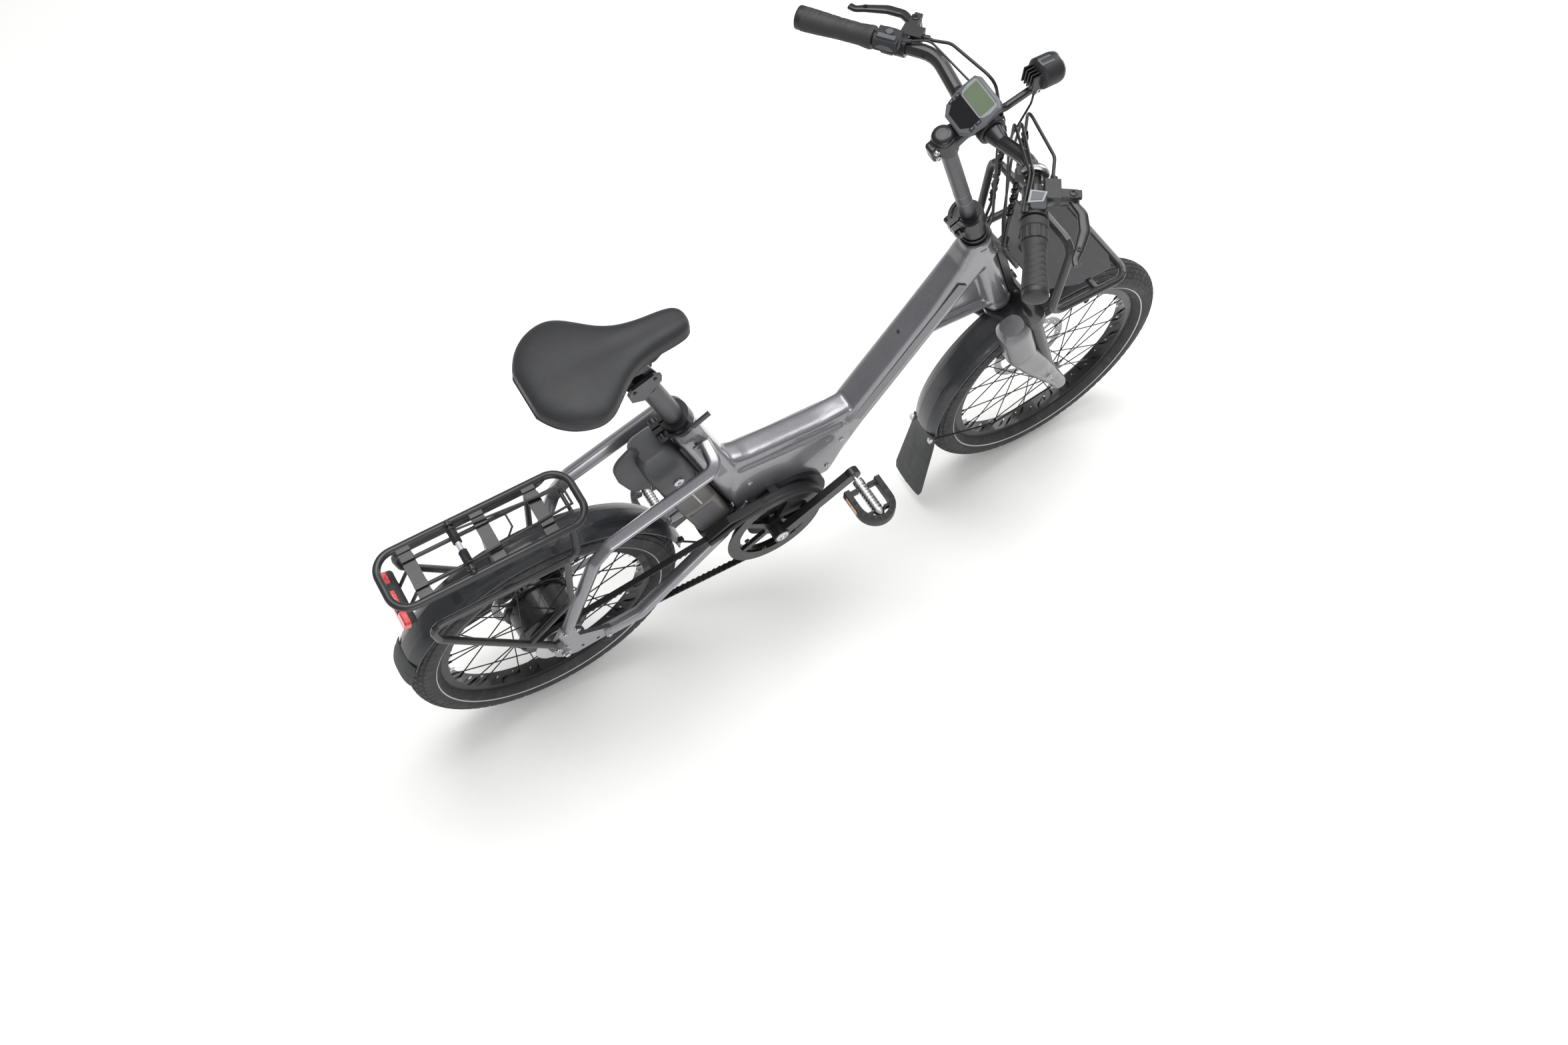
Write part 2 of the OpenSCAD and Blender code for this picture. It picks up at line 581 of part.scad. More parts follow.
module rear_fender() color("#202226") place() {
  translate([0, 0, tyre_r]) {
    fender_arc(fender_r - 6, 66, 14, 158);
  }
  // mud flap
  translate([0, 0, tyre_r]) rotate([90, 0, 0]) rotate([0, 0, 154]) rotate_extrude(angle = flap_end - 154)
    translate([fender_r + 0.6, -36]) square([2.4, 72]);
  // strut to the chainstays
  for (s = [-1, 1]) mirrored(s) rod([fender_r * cos(14) - 6, 24, tyre_r + fender_r * sin(14) + 4],
    [bb_x - 132, 43, 311], 2);
}
// spring clamp for luggage: a wire frame with a coil round the cross rod on each side
module luggage_clamp() color("#1d1e20") place() {
  for (s = [-1, 1]) mirrored(s) {
    rod([clamp_x + 4.5, 31, rack_z + 9], [rack_front - 16, 17, rack_z + 6], 2);
    rod([clamp_x + 70, 23, rack_z + 8], [clamp_x + 84, 12, rack_z + 16], 1.6);
    difference() {
      ybar([clamp_x, 0, rack_z + 9], 6.2, 10, 34);
      ybar([clamp_x, 0, rack_z + 9], 4 + run_gap, 9, 35);
    }
  }
  rod([rack_front - 16, -18.5, rack_z + 6], [rack_front - 16, 18.5, rack_z + 6], 2);
  rod([clamp_x + 84, -13, rack_z + 16], [clamp_x + 84, 13, rack_z + 16], 1.6);
}

// ---- front carrier on the head tube ----
carrier_x = steer_pt(0, 0, head_top_s - 180)[0] + 42;
carrier_z = 640;
carrier_top = 816;
carrier_r = 7;
module front_carrier() color("#1a1b1d") place() {
  for (s = [-1, 1]) mirrored(s) {
    pipe([[carrier_x + 4, 0, carrier_top], [carrier_x + 4, carrier_w / 2, carrier_top],
      [carrier_x, carrier_w / 2, carrier_z], [carrier_x + carrier_l, carrier_w / 2, carrier_z],
      [carrier_x + carrier_l, 0, carrier_z]], carrier_r, 26);
    // inner tubes: down from the top bar, then forward under the plate
    pipe([[carrier_x + 3, 40, carrier_top - 4], [carrier_x + 4, 34, carrier_z - 2],
      [carrier_x + carrier_l - 3, 34, carrier_z - 2]], 5.5, 26);
    rod([carrier_x + 100, 38, carrier_z - 1], [carrier_x + 100, carrier_w / 2 - 3, carrier_z - 1], 5.5);
  }
  // luggage plate and slotted back plate
  difference() {
    translate([carrier_x + 12, 0, carrier_z + 5]) linear_extrude(3) polygon([[0, -62], [0, 62], [64, 84],
      [132, 84], [144, 62], [144, -62], [132, -84], [64, -84]]);
    for (y = [-30, 30]) translate([carrier_x + 120, y, carrier_z]) cylinder(r = 3, h = 20);
  }
  difference() {
    translate([carrier_x - 2, -30, carrier_z + 62]) cube([3, 60, 88]);
    translate([carrier_x - 5, -3, carrier_z + 82]) cube([10, 6, 44]);
  }
  // bracket bolted to the head tube
  steer() difference() {
    union() {
      translate([head_r - 4, -17, head_bot_s + 14]) cube([13.3, 34, 150]);
      for (z = [34, 144]) translate([head_r + 8, -44, head_bot_s + z - 10]) cube([6, 88, 20]);
    }
    translate([0, 0, head_bot_s]) cylinder(r = head_r, h = head_len);
  }
  // bolt heads
  steer() for (z = [34, 144]) translate([head_r + 13, 0, head_bot_s + z]) rotate([0, 90, 0]) cylinder(r = 9, h = 7);
}
module headset_cups() color("#1b1c1e") place() steer() for (z = [head_bot_s - 6.5, head_top_s]) difference() {
  translate([0, 0, z]) cylinder(r = head_r + 1, h = 6.5);
  translate([0, 0, z - 1]) cylinder(r = steerer_r + 0.3, h = 12);
}

// ---- belt drive ----
// unit normal of the upper belt run, seen from the right
drive_l = norm([bb_x, bb_z - tyre_r]);
drive_a = atan2(bb_z - tyre_r, bb_x);
wrap_a = asin((front_pitch_r - rear_pitch_r) / drive_l);
// outline of the belt's loop, a distance out from the pitch line
function belt_loop(out) = [
  for (k = [0:24]) let (a = drive_a + 90 + wrap_a + (180 - 2 * wrap_a) * k / 24)
    [(rear_pitch_r + out) * cos(a), tyre_r + (rear_pitch_r + out) * sin(a)],
  for (k = [0:48]) let (a = drive_a - 90 - wrap_a + (180 + 2 * wrap_a) * k / 48)
    [bb_x + (front_pitch_r + out) * cos(a), bb_z + (front_pitch_r + out) * sin(a)]];
// teeth on one straight run, clear of both pulleys
module belt_teeth(side) {
  a = drive_a + side * (90 + wrap_a);
  p0 = [rear_pitch_r * cos(a), tyre_r + rear_pitch_r * sin(a)];
  p1 = [bb_x + front_pitch_r * cos(a), bb_z + front_pitch_r * sin(a)];
  run = norm(p1 - p0);
  translate(p0) rotate(atan2(p1[1] - p0[1], p1[0] - p0[0]))
    for (k = [2:floor((run - 26) / belt_pitch)])
      translate([k * belt_pitch - 2.6, side > 0 ? -belt_t / 2 - tooth_h : belt_t / 2 - 0.3]) square([5.2, tooth_h + 0.3]);
}
module drive_belt() color("#141416") place() side_plate(-belt_y - belt_w / 2, -belt_y + belt_w / 2) {
  difference() {
    polygon(belt_loop(belt_t / 2));
    polygon(belt_loop(-belt_t / 2));
  }
  belt_teeth(1);
  belt_teeth(-1);
}
module front_pulley() color("#3a3b3e") place() difference() {
  union() {
    // toothed ring
    difference() {
      ybar(bb, front_pitch_r - belt_t / 2 - body_gap, -belt_y - 5, -belt_y + 5);
      ybar(bb, front_pitch_r - 16, -belt_y - 20, -belt_y + 20);
    }
    // guard ring
    difference() {
      ybar(bb, guard_ring_r, guard_y, guard_y + 2.5);
      ybar(bb, front_pitch_r - 12, -belt_y - 20, -belt_y);
    }
    // five arms and the hub
    translate(bb) for (k = [0:4]) rotate([0, -crank_angle - 36 + 72 * k, 0])
      translate([14, guard_y + 0.4, -6]) cube([front_pitch_r - 22, 7.6, 12]);
    ybar(bb, 22, guard_y - 0.4, -belt_y + 3);
  }
  ybar(bb, crank_axle_r - 0.3, -belt_y - 30, -belt_y + 30);
}
module crank_arm(side) {
  // pin side out; runs from the axle to the pedal hole
  tip = -side * crank_tip;
  y0 = side * crank_in_y;
  y1 = side * (crank_in_y + crank_t);
  difference() {
    union() {
      translate([bb_x, 0, bb_z]) mirrored(side) translate([0, crank_in_y, 0]) rotate([-90, 0, 0])
        linear_extrude(crank_t) rotate(-atan2(tip[2], tip[0])) slab_2d(crank_len, 24);
      ybar(bb, 16, min(y0 - side * 6, y1 + side * 2), max(y0 - side * 6, y1 + side * 2));
      ybar(bb + tip, 14, min(y0, y1), max(y0, y1));
    }
    ybar(bb, crank_axle_r - 0.3, min(y0, y1) - 10, max(y0, y1) + 10);
    ybar(bb + tip, spindle_r + 0.5, min(y0, y1) - 5, max(y0, y1) + 5);
  }
}
module crank_arms() color("#1b1c1f") place() { crank_arm(-1); crank_arm(1); }
module crank_axle() color("#8c8d90") place() {
  ybar(bb, crank_axle_r, -motor_w / 2 - 4, motor_w / 2 + 4);
  ybar(bb, crank_axle_r - 0.3, -crank_in_y - crank_t - 1, crank_in_y + crank_t + 1);
  // pedal spindles
  for (s = [-1, 1]) {
    tip = bb - s * crank_tip;
    y0 = s * (crank_in_y + 0.2);
    ybar(tip, spindle_r + 0.5, min(y0, y0 + s * crank_t), max(y0, y0 + s * crank_t));
    ybar(tip, spindle_r, min(y0, y0 + s * spindle_l), max(y0, y0 + s * spindle_l));
  }
}
module pedal(side) {
  c = bb - side * crank_tip;
  y_in = crank_in_y + crank_t + 8;
  mirrored(side) difference() {
    translate([c[0], y_in, c[2] - pedal_h / 2]) difference() {
      union() {
        // cage: oval loop open at the inner end
        linear_extrude(pedal_h) difference() {
          union() {
            translate([-pedal_d / 2, 14]) square([pedal_d, pedal_len - 14 - pedal_d / 2]);
            translate([0, pedal_len - pedal_d / 2]) circle(r = pedal_d / 2);
          }
          translate([-16, 12]) square([32, pedal_len - 38]);
          translate([0, pedal_len - 36]) circle(r = 18);
        }
        translate([0, 0, pedal_h / 2]) rotate([-90, 0, 0]) cylinder(r = 10, h = pedal_len - 14);
      }
      // reflector pockets front and back
      for (s = [-1, 1]) translate([s * pedal_d / 2 - 1, 24, pedal_h / 2 - 5]) cube([2, 34, 10]);
    }
    translate([c[0], y_in - 1, c[2]]) rotate([-90, 0, 0]) cylinder(r = spindle_r + run_gap, h = pedal_len - 10);
  }
}
module right_pedal() color("#2a2826") place() pedal(-1);
module left_pedal() color("#2a2826") place() pedal(1);
module rear_cog() color("#6b6c6f") place() difference() {
  union() {
    ybar([0, 0, tyre_r], rear_pitch_r - belt_t / 2 - body_gap, -belt_y - 6.6, -belt_y + 5);
    ybar([0, 0, tyre_r], rear_pitch_r + 5, -belt_y - belt_w / 2 - 2.5, -belt_y - belt_w / 2 - 0.6);
    ybar([0, 0, tyre_r], 20, -belt_y - 6, -belt_y + 9);
  }
  ybar([0, 0, tyre_r], axle_r + run_gap, -90, 0);
}

// ---- wheels: profiles are drawn as [radius, width] and turned about Y ----
module turned() { rotate([-90, 0, 0]) rotate_extrude() children(); }
hub_bore = axle_r + run_gap;
module rear_place() { place() translate([0, 0, tyre_r]) children(); }
module front_place() { place() translate([wheelbase, 0, tyre_r]) children(); }
module tyre() turned() difference() {
  translate([tyre_r - tyre_w / 2, 0]) circle(r = tyre_w / 2);
  translate([tyre_r - tyre_w / 2, 0]) circle(r = tyre_w / 2 - 3.2);
  translate([rim_r - 25, -rim_w / 2 - 0.2]) square([25.3, rim_w + 0.4]);
}
module rim() turned() difference() {
  translate([rim_r - rim_h, -rim_w / 2]) square([rim_h, rim_w]);
  translate([rim_r - 9, -rim_w / 2 + 2]) square([10, rim_w - 4]);
  translate([rim_r - rim_h + 3, -rim_w / 2 + 5]) square([5, rim_w - 10]);
}
spoke_n = 32;
module spokes(flange_r, flange_y, r) {
  for (k = [0:spoke_n - 1]) {
    side = k % 2 == 0 ? 1 : -1;
    lean = floor(k / 2) % 2 == 0 ? 1 : -1;
    a1 = 360 * k / spoke_n;
    a0 = a1 + lean * 52;
    p0 = [flange_r * cos(a0), side * (flange_y + lean * 3), flange_r * sin(a0)];
    p1 = [(rim_r - rim_h + 0.5) * cos(a1), side * 2.5, (rim_r - rim_h + 0.5) * sin(a1)];
    rod(p0, p1, r);
    rod(p1 - unit(p1 - p0) * 12, p1, r + 1);
  }
}
module disc() difference() {
  union() {
    turned() translate([disc_r - 16, -disc_t / 2]) square([16, disc_t]);
    turned() translate([16, -disc_t / 2]) square([12, disc_t]);
    for (k = [0:5]) rotate([0, 60 * k, 0]) translate([26, -disc_t / 2, 0]) rotate([0, 24, 0])
      cube([44, disc_t, 6]);
  }
  for (k = [0:17]) rotate([0, 20 * k, 0]) translate([disc_r - 8, -3, 0]) rotate([-90, 0, 0])
    cylinder(r = 2.6, h = 6);
  for (k = [0:5]) rotate([0, 60 * k + 8, 0]) translate([22, -3, 0]) rotate([-90, 0, 0])
    cylinder(r = 2.6, h = 6);
}
disc_y_rear = 49;
disc_y_front = 38;
module rear_tyre() color("#2b2b2c") rear_place() tyre();
module rear_rim() color("#1a1a1b") rear_place() rim();
rear_flange_r = 62;
module rear_spokes() color("#202022") rear_place() spokes(rear_flange_r - 2, 30, 1.15);
module rear_hub() color("#1c1d1f") rear_place() turned() polygon([[hub_bore, -41], [20, -41], [24, -38],
  [52, -36], [rear_flange_r, -32], [rear_flange_r + 4, -32], [rear_flange_r + 4, -28], [rear_flange_r - 4, -27],
  [rear_flange_r - 4, 27], [rear_flange_r + 4, 28], [rear_flange_r + 4, 32], [rear_flange_r, 32], [50, 37],
  [30, 40], [28, 48], [14, 48], [14, 58], [hub_bore, 58]]);
module rear_disc() color("#b4b5b7") rear_place() translate([0, disc_y_rear + 0.1, 0]) disc();
module rear_axle() color("#9a9b9e") rear_place() {
  half = rear_old / 2 + 8;
  ybar([0, 0, 0], axle_r, -half - 14, half + 14);
  for (s = [-1, 1]) {
    ybar([0, 0, 0], 9, min(s * (half + 0.1), s * (half + 1.7)), max(s * (half + 0.1), s * (half + 1.7)));
    translate([0, s * (half + 1.8), 0]) rotate([s > 0 ? -90 : 90, 0, 0]) cylinder(r = 8.4, h = 8, $fn = 6);
  }
}
module caliper(y) {
  // straddles the disc; local origin on the wheel axis
  difference() {
    union() {
      translate([disc_r - 26, y - 10, -24]) cube([36, 25, 48]);
      translate([disc_r - 18, y - 11, -12]) cube([20, 29, 24]);
    }
    translate([disc_r - 40, y - 2.2, -60]) cube([40 + 1.5, 4.4, 120]);
  }
}
module rear_caliper() color("#1d1e20") rear_place() rotate([0, -52, 0]) caliper(disc_y_rear);
front_flange_r = 24;
module front_tyre() color("#2b2b2c") front_place() tyre();
module front_rim() color("#1a1a1b") front_place() rim();
module front_spokes() color("#202022") front_place() spokes(front_flange_r - 2, 30, 1);
module front_hub() color("#1c1d1f") front_place() turned() polygon([[hub_bore, -front_old / 2 + 1],
  [9, -front_old / 2 + 1], [12, -36], [front_flange_r, -33], [front_flange_r, -28], [16, -22], [16, 22],
  [front_flange_r, 28], [front_flange_r, 33], [28, 34.5], [28, disc_y_front - 1], [14, disc_y_front - 1],
  [14, disc_y_front + 3], [9, front_old / 2 - 1], [hub_bore, front_old / 2 - 1]]);
module front_disc() color("#b4b5b7") front_place() translate([0, disc_y_front + 0.1, 0]) disc();

// ---- fork ----
module fork_leg(side) {
  y0 = side * front_old / 2;
  difference() {
    union() {
      translate([leg_x, side * leg_y, 26]) cylinder(r = lower_r, h = lower_top_s - 26);
      translate([leg_x, side * leg_y, 11]) cylinder(r1 = 13, r2 = lower_r, h = 15);
      // dropout plate
      translate([0, side > 0 ? y0 + 7 : y0, 0]) rotate([90, 0, 0]) linear_extrude(7)
        polygon([[20, 14], [24, 46], [48, 40], [54, 10], [56, -8], [46, -14], [36, -10]]);
    }
    translate([leg_x, side * leg_y, 60]) cylinder(r = stanchion_r + run_gap, h = 300);
  }
}
module fork_lowers() color("#7b7c81") place() difference() {
  union() {
    steer() {
      for (s = [-1, 1]) fork_leg(s);
      // brace over the tyre
      translate([leg_x + 15, -leg_y - 8, 275]) cube([14, 2 * leg_y + 16, 12]);
      for (s = [-1, 1]) translate([leg_x + 15, s * (leg_y + 2) - 6, lower_top_s - 60]) cube([13, 12, 132]);
      // caliper post on the left leg
      translate([-6, leg_y - 8, 78]) cube([20, 12, 60]);
    }
    // axle with its head
    ybar([wheelbase, 0, tyre_r], axle_r, -front_old / 2 - 9, front_old / 2 + 9);
    ybar([wheelbase, 0, tyre_r], 9, front_old / 2 + 7, front_old / 2 + 13);
    ybar([wheelbase, 0, tyre_r], 9, -front_old / 2 - 13, -front_old / 2 - 7);
  }
}
module front_caliper() color("#1d1e20") place() difference() {
  translate(steer_pt(fork_offset, 0, 0)) rotate([0, -steer_tilt - 124, 0]) caliper(disc_y_front);
  steer() for (s = [-1, 1]) translate([leg_x, s * leg_y, 0]) cylinder(r = lower_r, h = 300);
  steer() translate([-6, leg_y - 8, 78]) cube([20, 12, 60]);
}
module front_fender() color("#202226") place() {
  translate([wheelbase, 0, tyre_r]) {
    fender_arc(fender_r - 6, 66, 80, 188);
    // flap: hangs nearly straight down from the fender's end
    side_plate(-36, 36) let (r = fender_r + 0.6) polygon([
      [r * cos(184), r * sin(184)], [r * cos(190), r * sin(190)], [-262, -200], [-264.4, -200],
      [(r + 2.4) * cos(190), (r + 2.4) * sin(190)], [(r + 2.4) * cos(184), (r + 2.4) * sin(184)]]);
    // wire stays to the lower legs
    for (s = [-1, 1]) mirrored(s) pipe([[fender_r * cos(186), 32, fender_r * sin(186)],
      [-150, front_old / 2 + 14, -20], [-16, front_old / 2 + 9.5, -3]], 1.8, 10);
    for (s = [-1, 1]) mirrored(s) ybar([-14, 0, -2.6], 4, front_old / 2 + 7.6, front_old / 2 + 11.5);
  }
}
module fork_crown() color("#26272a") place() steer() {
  difference() {
    union() {
      translate([0, 0, crown_top_s - crown_h]) cylinder(r = 27, h = crown_h);
      for (s = [-1, 1]) translate([leg_x, s * leg_y, crown_top_s - crown_h]) cylinder(r = 22, h = crown_h);
      translate([0, 0, crown_top_s - crown_h]) linear_extrude(crown_h - 3) polygon([[-24, -14],
        [leg_x - 16, -leg_y - 14], [leg_x + 18, -leg_y - 12], [leg_x + 8, 0], [leg_x + 18, leg_y + 12],
        [leg_x - 16, leg_y + 14], [-24, 14]]);
    }
    // arch room over the tyre
    translate([leg_x + 21, -100, 200]) cube([40, 200, 200]);
  }
  for (s = [-1, 1]) translate([leg_x, s * leg_y, 106]) cylinder(r = stanchion_r, h = crown_top_s - 106);
  difference() {
    translate([0, 0, crown_top_s - 1]) cylinder(r = steerer_r, h = head_top_s + 12 + sleeve_h - crown_top_s);
    translate([0, 0, head_bot_s + 20]) cylinder(r = stem_tube_r + run_gap, h = 500);
  }
}

// ---- stem ----
sleeve_s = head_top_s + 8;
module stem_clamp() color("#1b1c1e") place() steer() difference() {
  union() {
    translate([0, 0, sleeve_s]) cylinder(r = sleeve_r + 3, h = 8);
    translate([0, 0, sleeve_s + 10]) cylinder(r = sleeve_r + 1, h = 26);
    translate([0, 0, sleeve_s + 8]) cylinder(r = sleeve_r - 2, h = sleeve_h - 8);
    translate([0, 0, sleeve_s + 40]) cylinder(r = sleeve_r + 5, h = 22);
    translate([-sleeve_r - 16, -11, sleeve_s + 41]) cube([20, 22, 20]);
  }
  translate([0, 0, sleeve_s - 1]) cylinder(r = steerer_r + run_gap, h = sleeve_h + 4);
  cylinder(r = stem_tube_r + run_gap, h = 900);
  translate([-60, -1.2, sleeve_s + 36]) cube([50, 2.4, 40]);
  translate([-sleeve_r - 9, -40, sleeve_s + 51]) rotate([-90, 0, 0]) cylinder(r = 3 + run_gap, h = 80);
}
module stem_lever() color("#202124") place() steer() {
  o = [-sleeve_r - 9, 0, sleeve_s + 51];
  translate(o + [0, -13, 0]) rotate([-90, 0, 0]) cylinder(r = 3, h = 34);
  translate(o + [0, 12.5, 0]) rotate([-90, 0, 0]) cylinder(r = 6.8, h = 8.5);
  translate(o + [0, -19, 0]) rotate([-90, 0, 0]) cylinder(r = 6.8, h = 7);
  // curved blade round the left of the clamp
  translate([0, 0, sleeve_s + 44]) linear_extrude(14) difference() {
    circle(r = sleeve_r + 14);
    circle(r = sleeve_r + 9);
    translate([-60, -60]) square([120, 72.5]);
    translate([14, 0]) square([60, 60]);
  }
  translate(o + [-1, 15.5, -5]) cube([9, 5, 10]);
}
module stem_tube() color("#6d6e72") place() {
  steer() {
    translate([0, 0, head_top_s - 90]) cylinder(r = stem_tube_r, h = bar_s + 6 - head_top_s + 90);
    difference() {
      union() {
        translate([0, 0, bar_s - 20]) cylinder(r = stem_tube_r + 5, h = 34);
        translate([-stem_tube_r - 14, -10, bar_s - 18]) cube([14, 20, 30]);
        // forward arm to the handlebar
        translate([8, 0, bar_s]) rotate([0, 90, 0]) linear_extrude(stem_reach - 12) rrect(26, 28, 8);
        translate([stem_reach, -21, bar_s]) rotate([-90, 0, 0]) cylinder(r = bar_clamp_r + 4.5, h = 42);
      }
      translate([stem_reach, -40, bar_s]) rotate([-90, 0, 0]) cylinder(r = bar_clamp_r, h = 80);
      translate([0, 0, bar_s - 40]) cylinder(r = stem_tube_r - 1, h = 80);
      translate([-60, -1, bar_s - 30]) cube([48, 2, 60]);
    }
    // domed cap
    translate([0, 0, bar_s + 14.2]) rotate_extrude() polygon([[0, 0], [17, 0], [16, 5], [12, 8.5], [0, 10]]);
  }
}
module handlebar() color("#232427") place() {
  for (s = [-1, 1]) mirrored(s) {
    pipe([bar_mid, bar_in + [0, -2, 0]], bar_clamp_r, 10);
    pose(bar_in - [0, 2, 0], [1, 0, 0], [0, 0, -1], [0, 1, 0]) rotate_extrude()
      polygon([[0, 0], [bar_clamp_r, 0], [bar_r, 20], [0, 20]]);
    pipe([bar_in + [0, 16, 0], bar_bend, bar_end - grip_dir * 2], bar_r, 52);
  }
}
module grip_frame(side, at) {
  // local z runs out along the grip, local x points forward, local y down
  mirrored(side) pose(grip_start + grip_dir * at, grip_fwd, cross(grip_dir, grip_fwd), grip_dir) children();
}
module grips() color("#2c2c2d") place() for (s = [-1, 1]) grip_frame(s, s < 0 ? shifter_l + 1 : 0) difference() {
  union() {
    l = grip_l - (s < 0 ? shifter_l + 1 : 0);
    rotate_extrude() polygon([[0, 0], [17, 0], [17.5, 6], [15.6, 22], [15.8, l * 0.45], [17.4, l * 0.7],
      [18, l - 18], [16.5, l - 16], [17.5, l - 12], [17.5, l - 3], [14, l + 3], [0, l + 3]]);
  }
  translate([0, 0, -1]) cylinder(r = bar_r, h = grip_l - (s < 0 ? shifter_l + 1 : 0) - 1);
}
lever_reach = 52;
lever_piv = [lever_reach, 6, -34];
module brake_body() {
  difference() {
    union() {
      translate([0, 0, -52]) cylinder(r = bar_r + 4.5, h = 16);
      translate([8, -9, -51]) cube([lever_reach - 2, 20, 14]);
      translate([lever_reach - 14, -8, -51]) cube([26, 24, 12]);
      translate([14, -10, -66]) cube([22, 18, 32]);
    }
    translate([0, 0, -80]) cylinder(r = bar_r, h = 80);
  }
}
module bar_controls() color("#1e1f22") place() {
  for (s = [-1, 1]) grip_frame(s, 0) difference() {
    brake_body();
    translate([lever_piv[0], -20, lever_piv[2] - 10]) rotate([-90, 0, 0]) cylinder(r = 2.5 + run_gap, h = 60);
    translate([lever_piv[0] - 16, -1.5, lever_piv[2] - 22]) cube([60, 11, 60]);
  }
  // assist remote inboard of the left grip
  grip_frame(1, 0) difference() {
    union() {
      translate([0, 0, -32]) cylinder(r = bar_r + 4, h = 14);
      translate([-26, -24, -44]) cube([30, 20, 36]);
    }
    translate([0, 0, -60]) cylinder(r = bar_r, h = 80);
    translate([-22, -26, -40]) cube([8.8, 9.5, 28]);
    translate([-6, -30, -26]) rotate([-90, 0, 0]) cylinder(r = 6, h = 14);
  }
  // bell ring inboard of the right brake
  grip_frame(-1, 0) difference() {
    union() {
      translate([0, 0, -84]) cylinder(r = bar_r + 8, h = 12);
      translate([-24, -8, -86]) cube([12, 16, 16]);
    }
    translate([0, 0, -90]) cylinder(r = bar_r, h = 30);
  }
}
module brake_lever() {
  o = [lever_piv[0], 0, lever_piv[2] - 10];
  translate(o + [0, -7.5, 0]) rotate([-90, 0, 0]) cylinder(r = 2.5, h = 23);
  translate(o + [0, -1, 0]) rotate([-90, 0, 0]) cylinder(r = 8, h = 10);
  pipe([o + [0, 4, 4], o + [14, 4, 24], o + [16, 6, 50], o + [2, 8, 96], o + [6, 8, 108]], 4.5, 14);
}
module right_brake_lever() color("#232427") place() grip_frame(-1, 0) brake_lever();
module left_brake_lever() color("#232427") place() grip_frame(1, 0) brake_lever();
module twist_shifter() color("#2e2f31") place() grip_frame(-1, 0) difference() {
  union() {
    cylinder(r = 18, h = shifter_l);
    translate([0, 0, 2]) cylinder(r = 19.5, h = 12);
  }
  translate([0, 0, -1]) cylinder(r = bar_r + run_gap, h = shifter_l + 2);
}
module assist_rocker() color("#333437") place() grip_frame(1, 0)
  translate([-21.6, -27, -39.6]) cube([8, 8.6, 27.2]);
module mode_button() color("#3b3c40") place() grip_frame(1, 0)
  translate([-6, -26.5, -26]) rotate([-90, 0, 0]) cylinder(r = 5.6, h = 8);

// ---- display and headlight ----
disp_o = bar_mid + [6, 0, 26];
disp_l = 88;
disp_w = 62;
module disp_frame() { translate(disp_o) rotate([0, 14, 0]) rotate([0, 0, -8]) children(); }
module display() color("#55565a") place() {
  disp_frame() difference() {
    linear_extrude(15) polygon([[-disp_l / 2, -20], [-disp_l / 2 + 8, -disp_w / 2], [disp_l / 2 - 10, -disp_w / 2],
      [disp_l / 2, -22], [disp_l / 2, 22], [disp_l / 2 - 10, disp_w / 2], [-disp_l / 2 + 8, disp_w / 2],
      [-disp_l / 2, 20]]);
    translate([-disp_l / 2 + 12, -23, 13.6]) cube([disp_l - 24, 46, 5]);
  }
  // holder legs round the handlebar
  for (s = [-1, 1]) difference() {
    hull() {
      translate(bar_mid + [-13, s * 28 - 6, -2]) cube([26, 12, 8]);
      translate(disp_o + [-16, s * 26 - 6, -2]) cube([36, 12, 4]);
    }
    ybar(bar_mid, bar_clamp_r, -60, 60);
  }
}
light_o = bar_mid + [92, 0, 34];
module headlight() color("#2a2b2d") place() {
  difference() {
    translate(light_o) rotate([0, 90, 0]) cylinder(r = 23, h = 34);
    translate(light_o + [30, 0, 0]) rotate([0, 90, 0]) cylinder(r = 20, h = 10);
  }
  for (i = [0:4]) translate(light_o + [-14, -14 + i * 6, -14]) cube([15, 2.4, 26]);
  translate(light_o + [30.2, 0, 0]) rotate([0, 90, 0]) cylinder(r = 19.8, h = 6);
  // bracket back to the handlebar
  difference() {
    side_plate(-6, 6) polygon([[bar_mid[0] + 12, bar_mid[2] - 4], [light_o[0] - 8, light_o[2] - 30],
      [light_o[0] + 14, light_o[2] - 28], [light_o[0] + 14, light_o[2] - 20], [light_o[0] - 4, light_o[2] - 20],
      [bar_mid[0] + 16, bar_mid[2] + 8]]);
    ybar(bar_mid, bar_clamp_r + 4.5, -60, 60);
  }
}
module kickstand_leg() color("#2a2b2d") place() {
  along = unit(kick_foot - kick_pivot);
  rod(kick_pivot, kick_foot, 8);
  rod(kick_foot - along * 2, kick_foot + along * 26, 11);
  ybar(kick_pivot, 12, kick_pivot[1] - 6, kick_pivot[1] + 8);
  // pin in the block on the stay
  ybar(kick_pivot, 4, rear_old / 2 + 8.5, kick_pivot[1]);
}
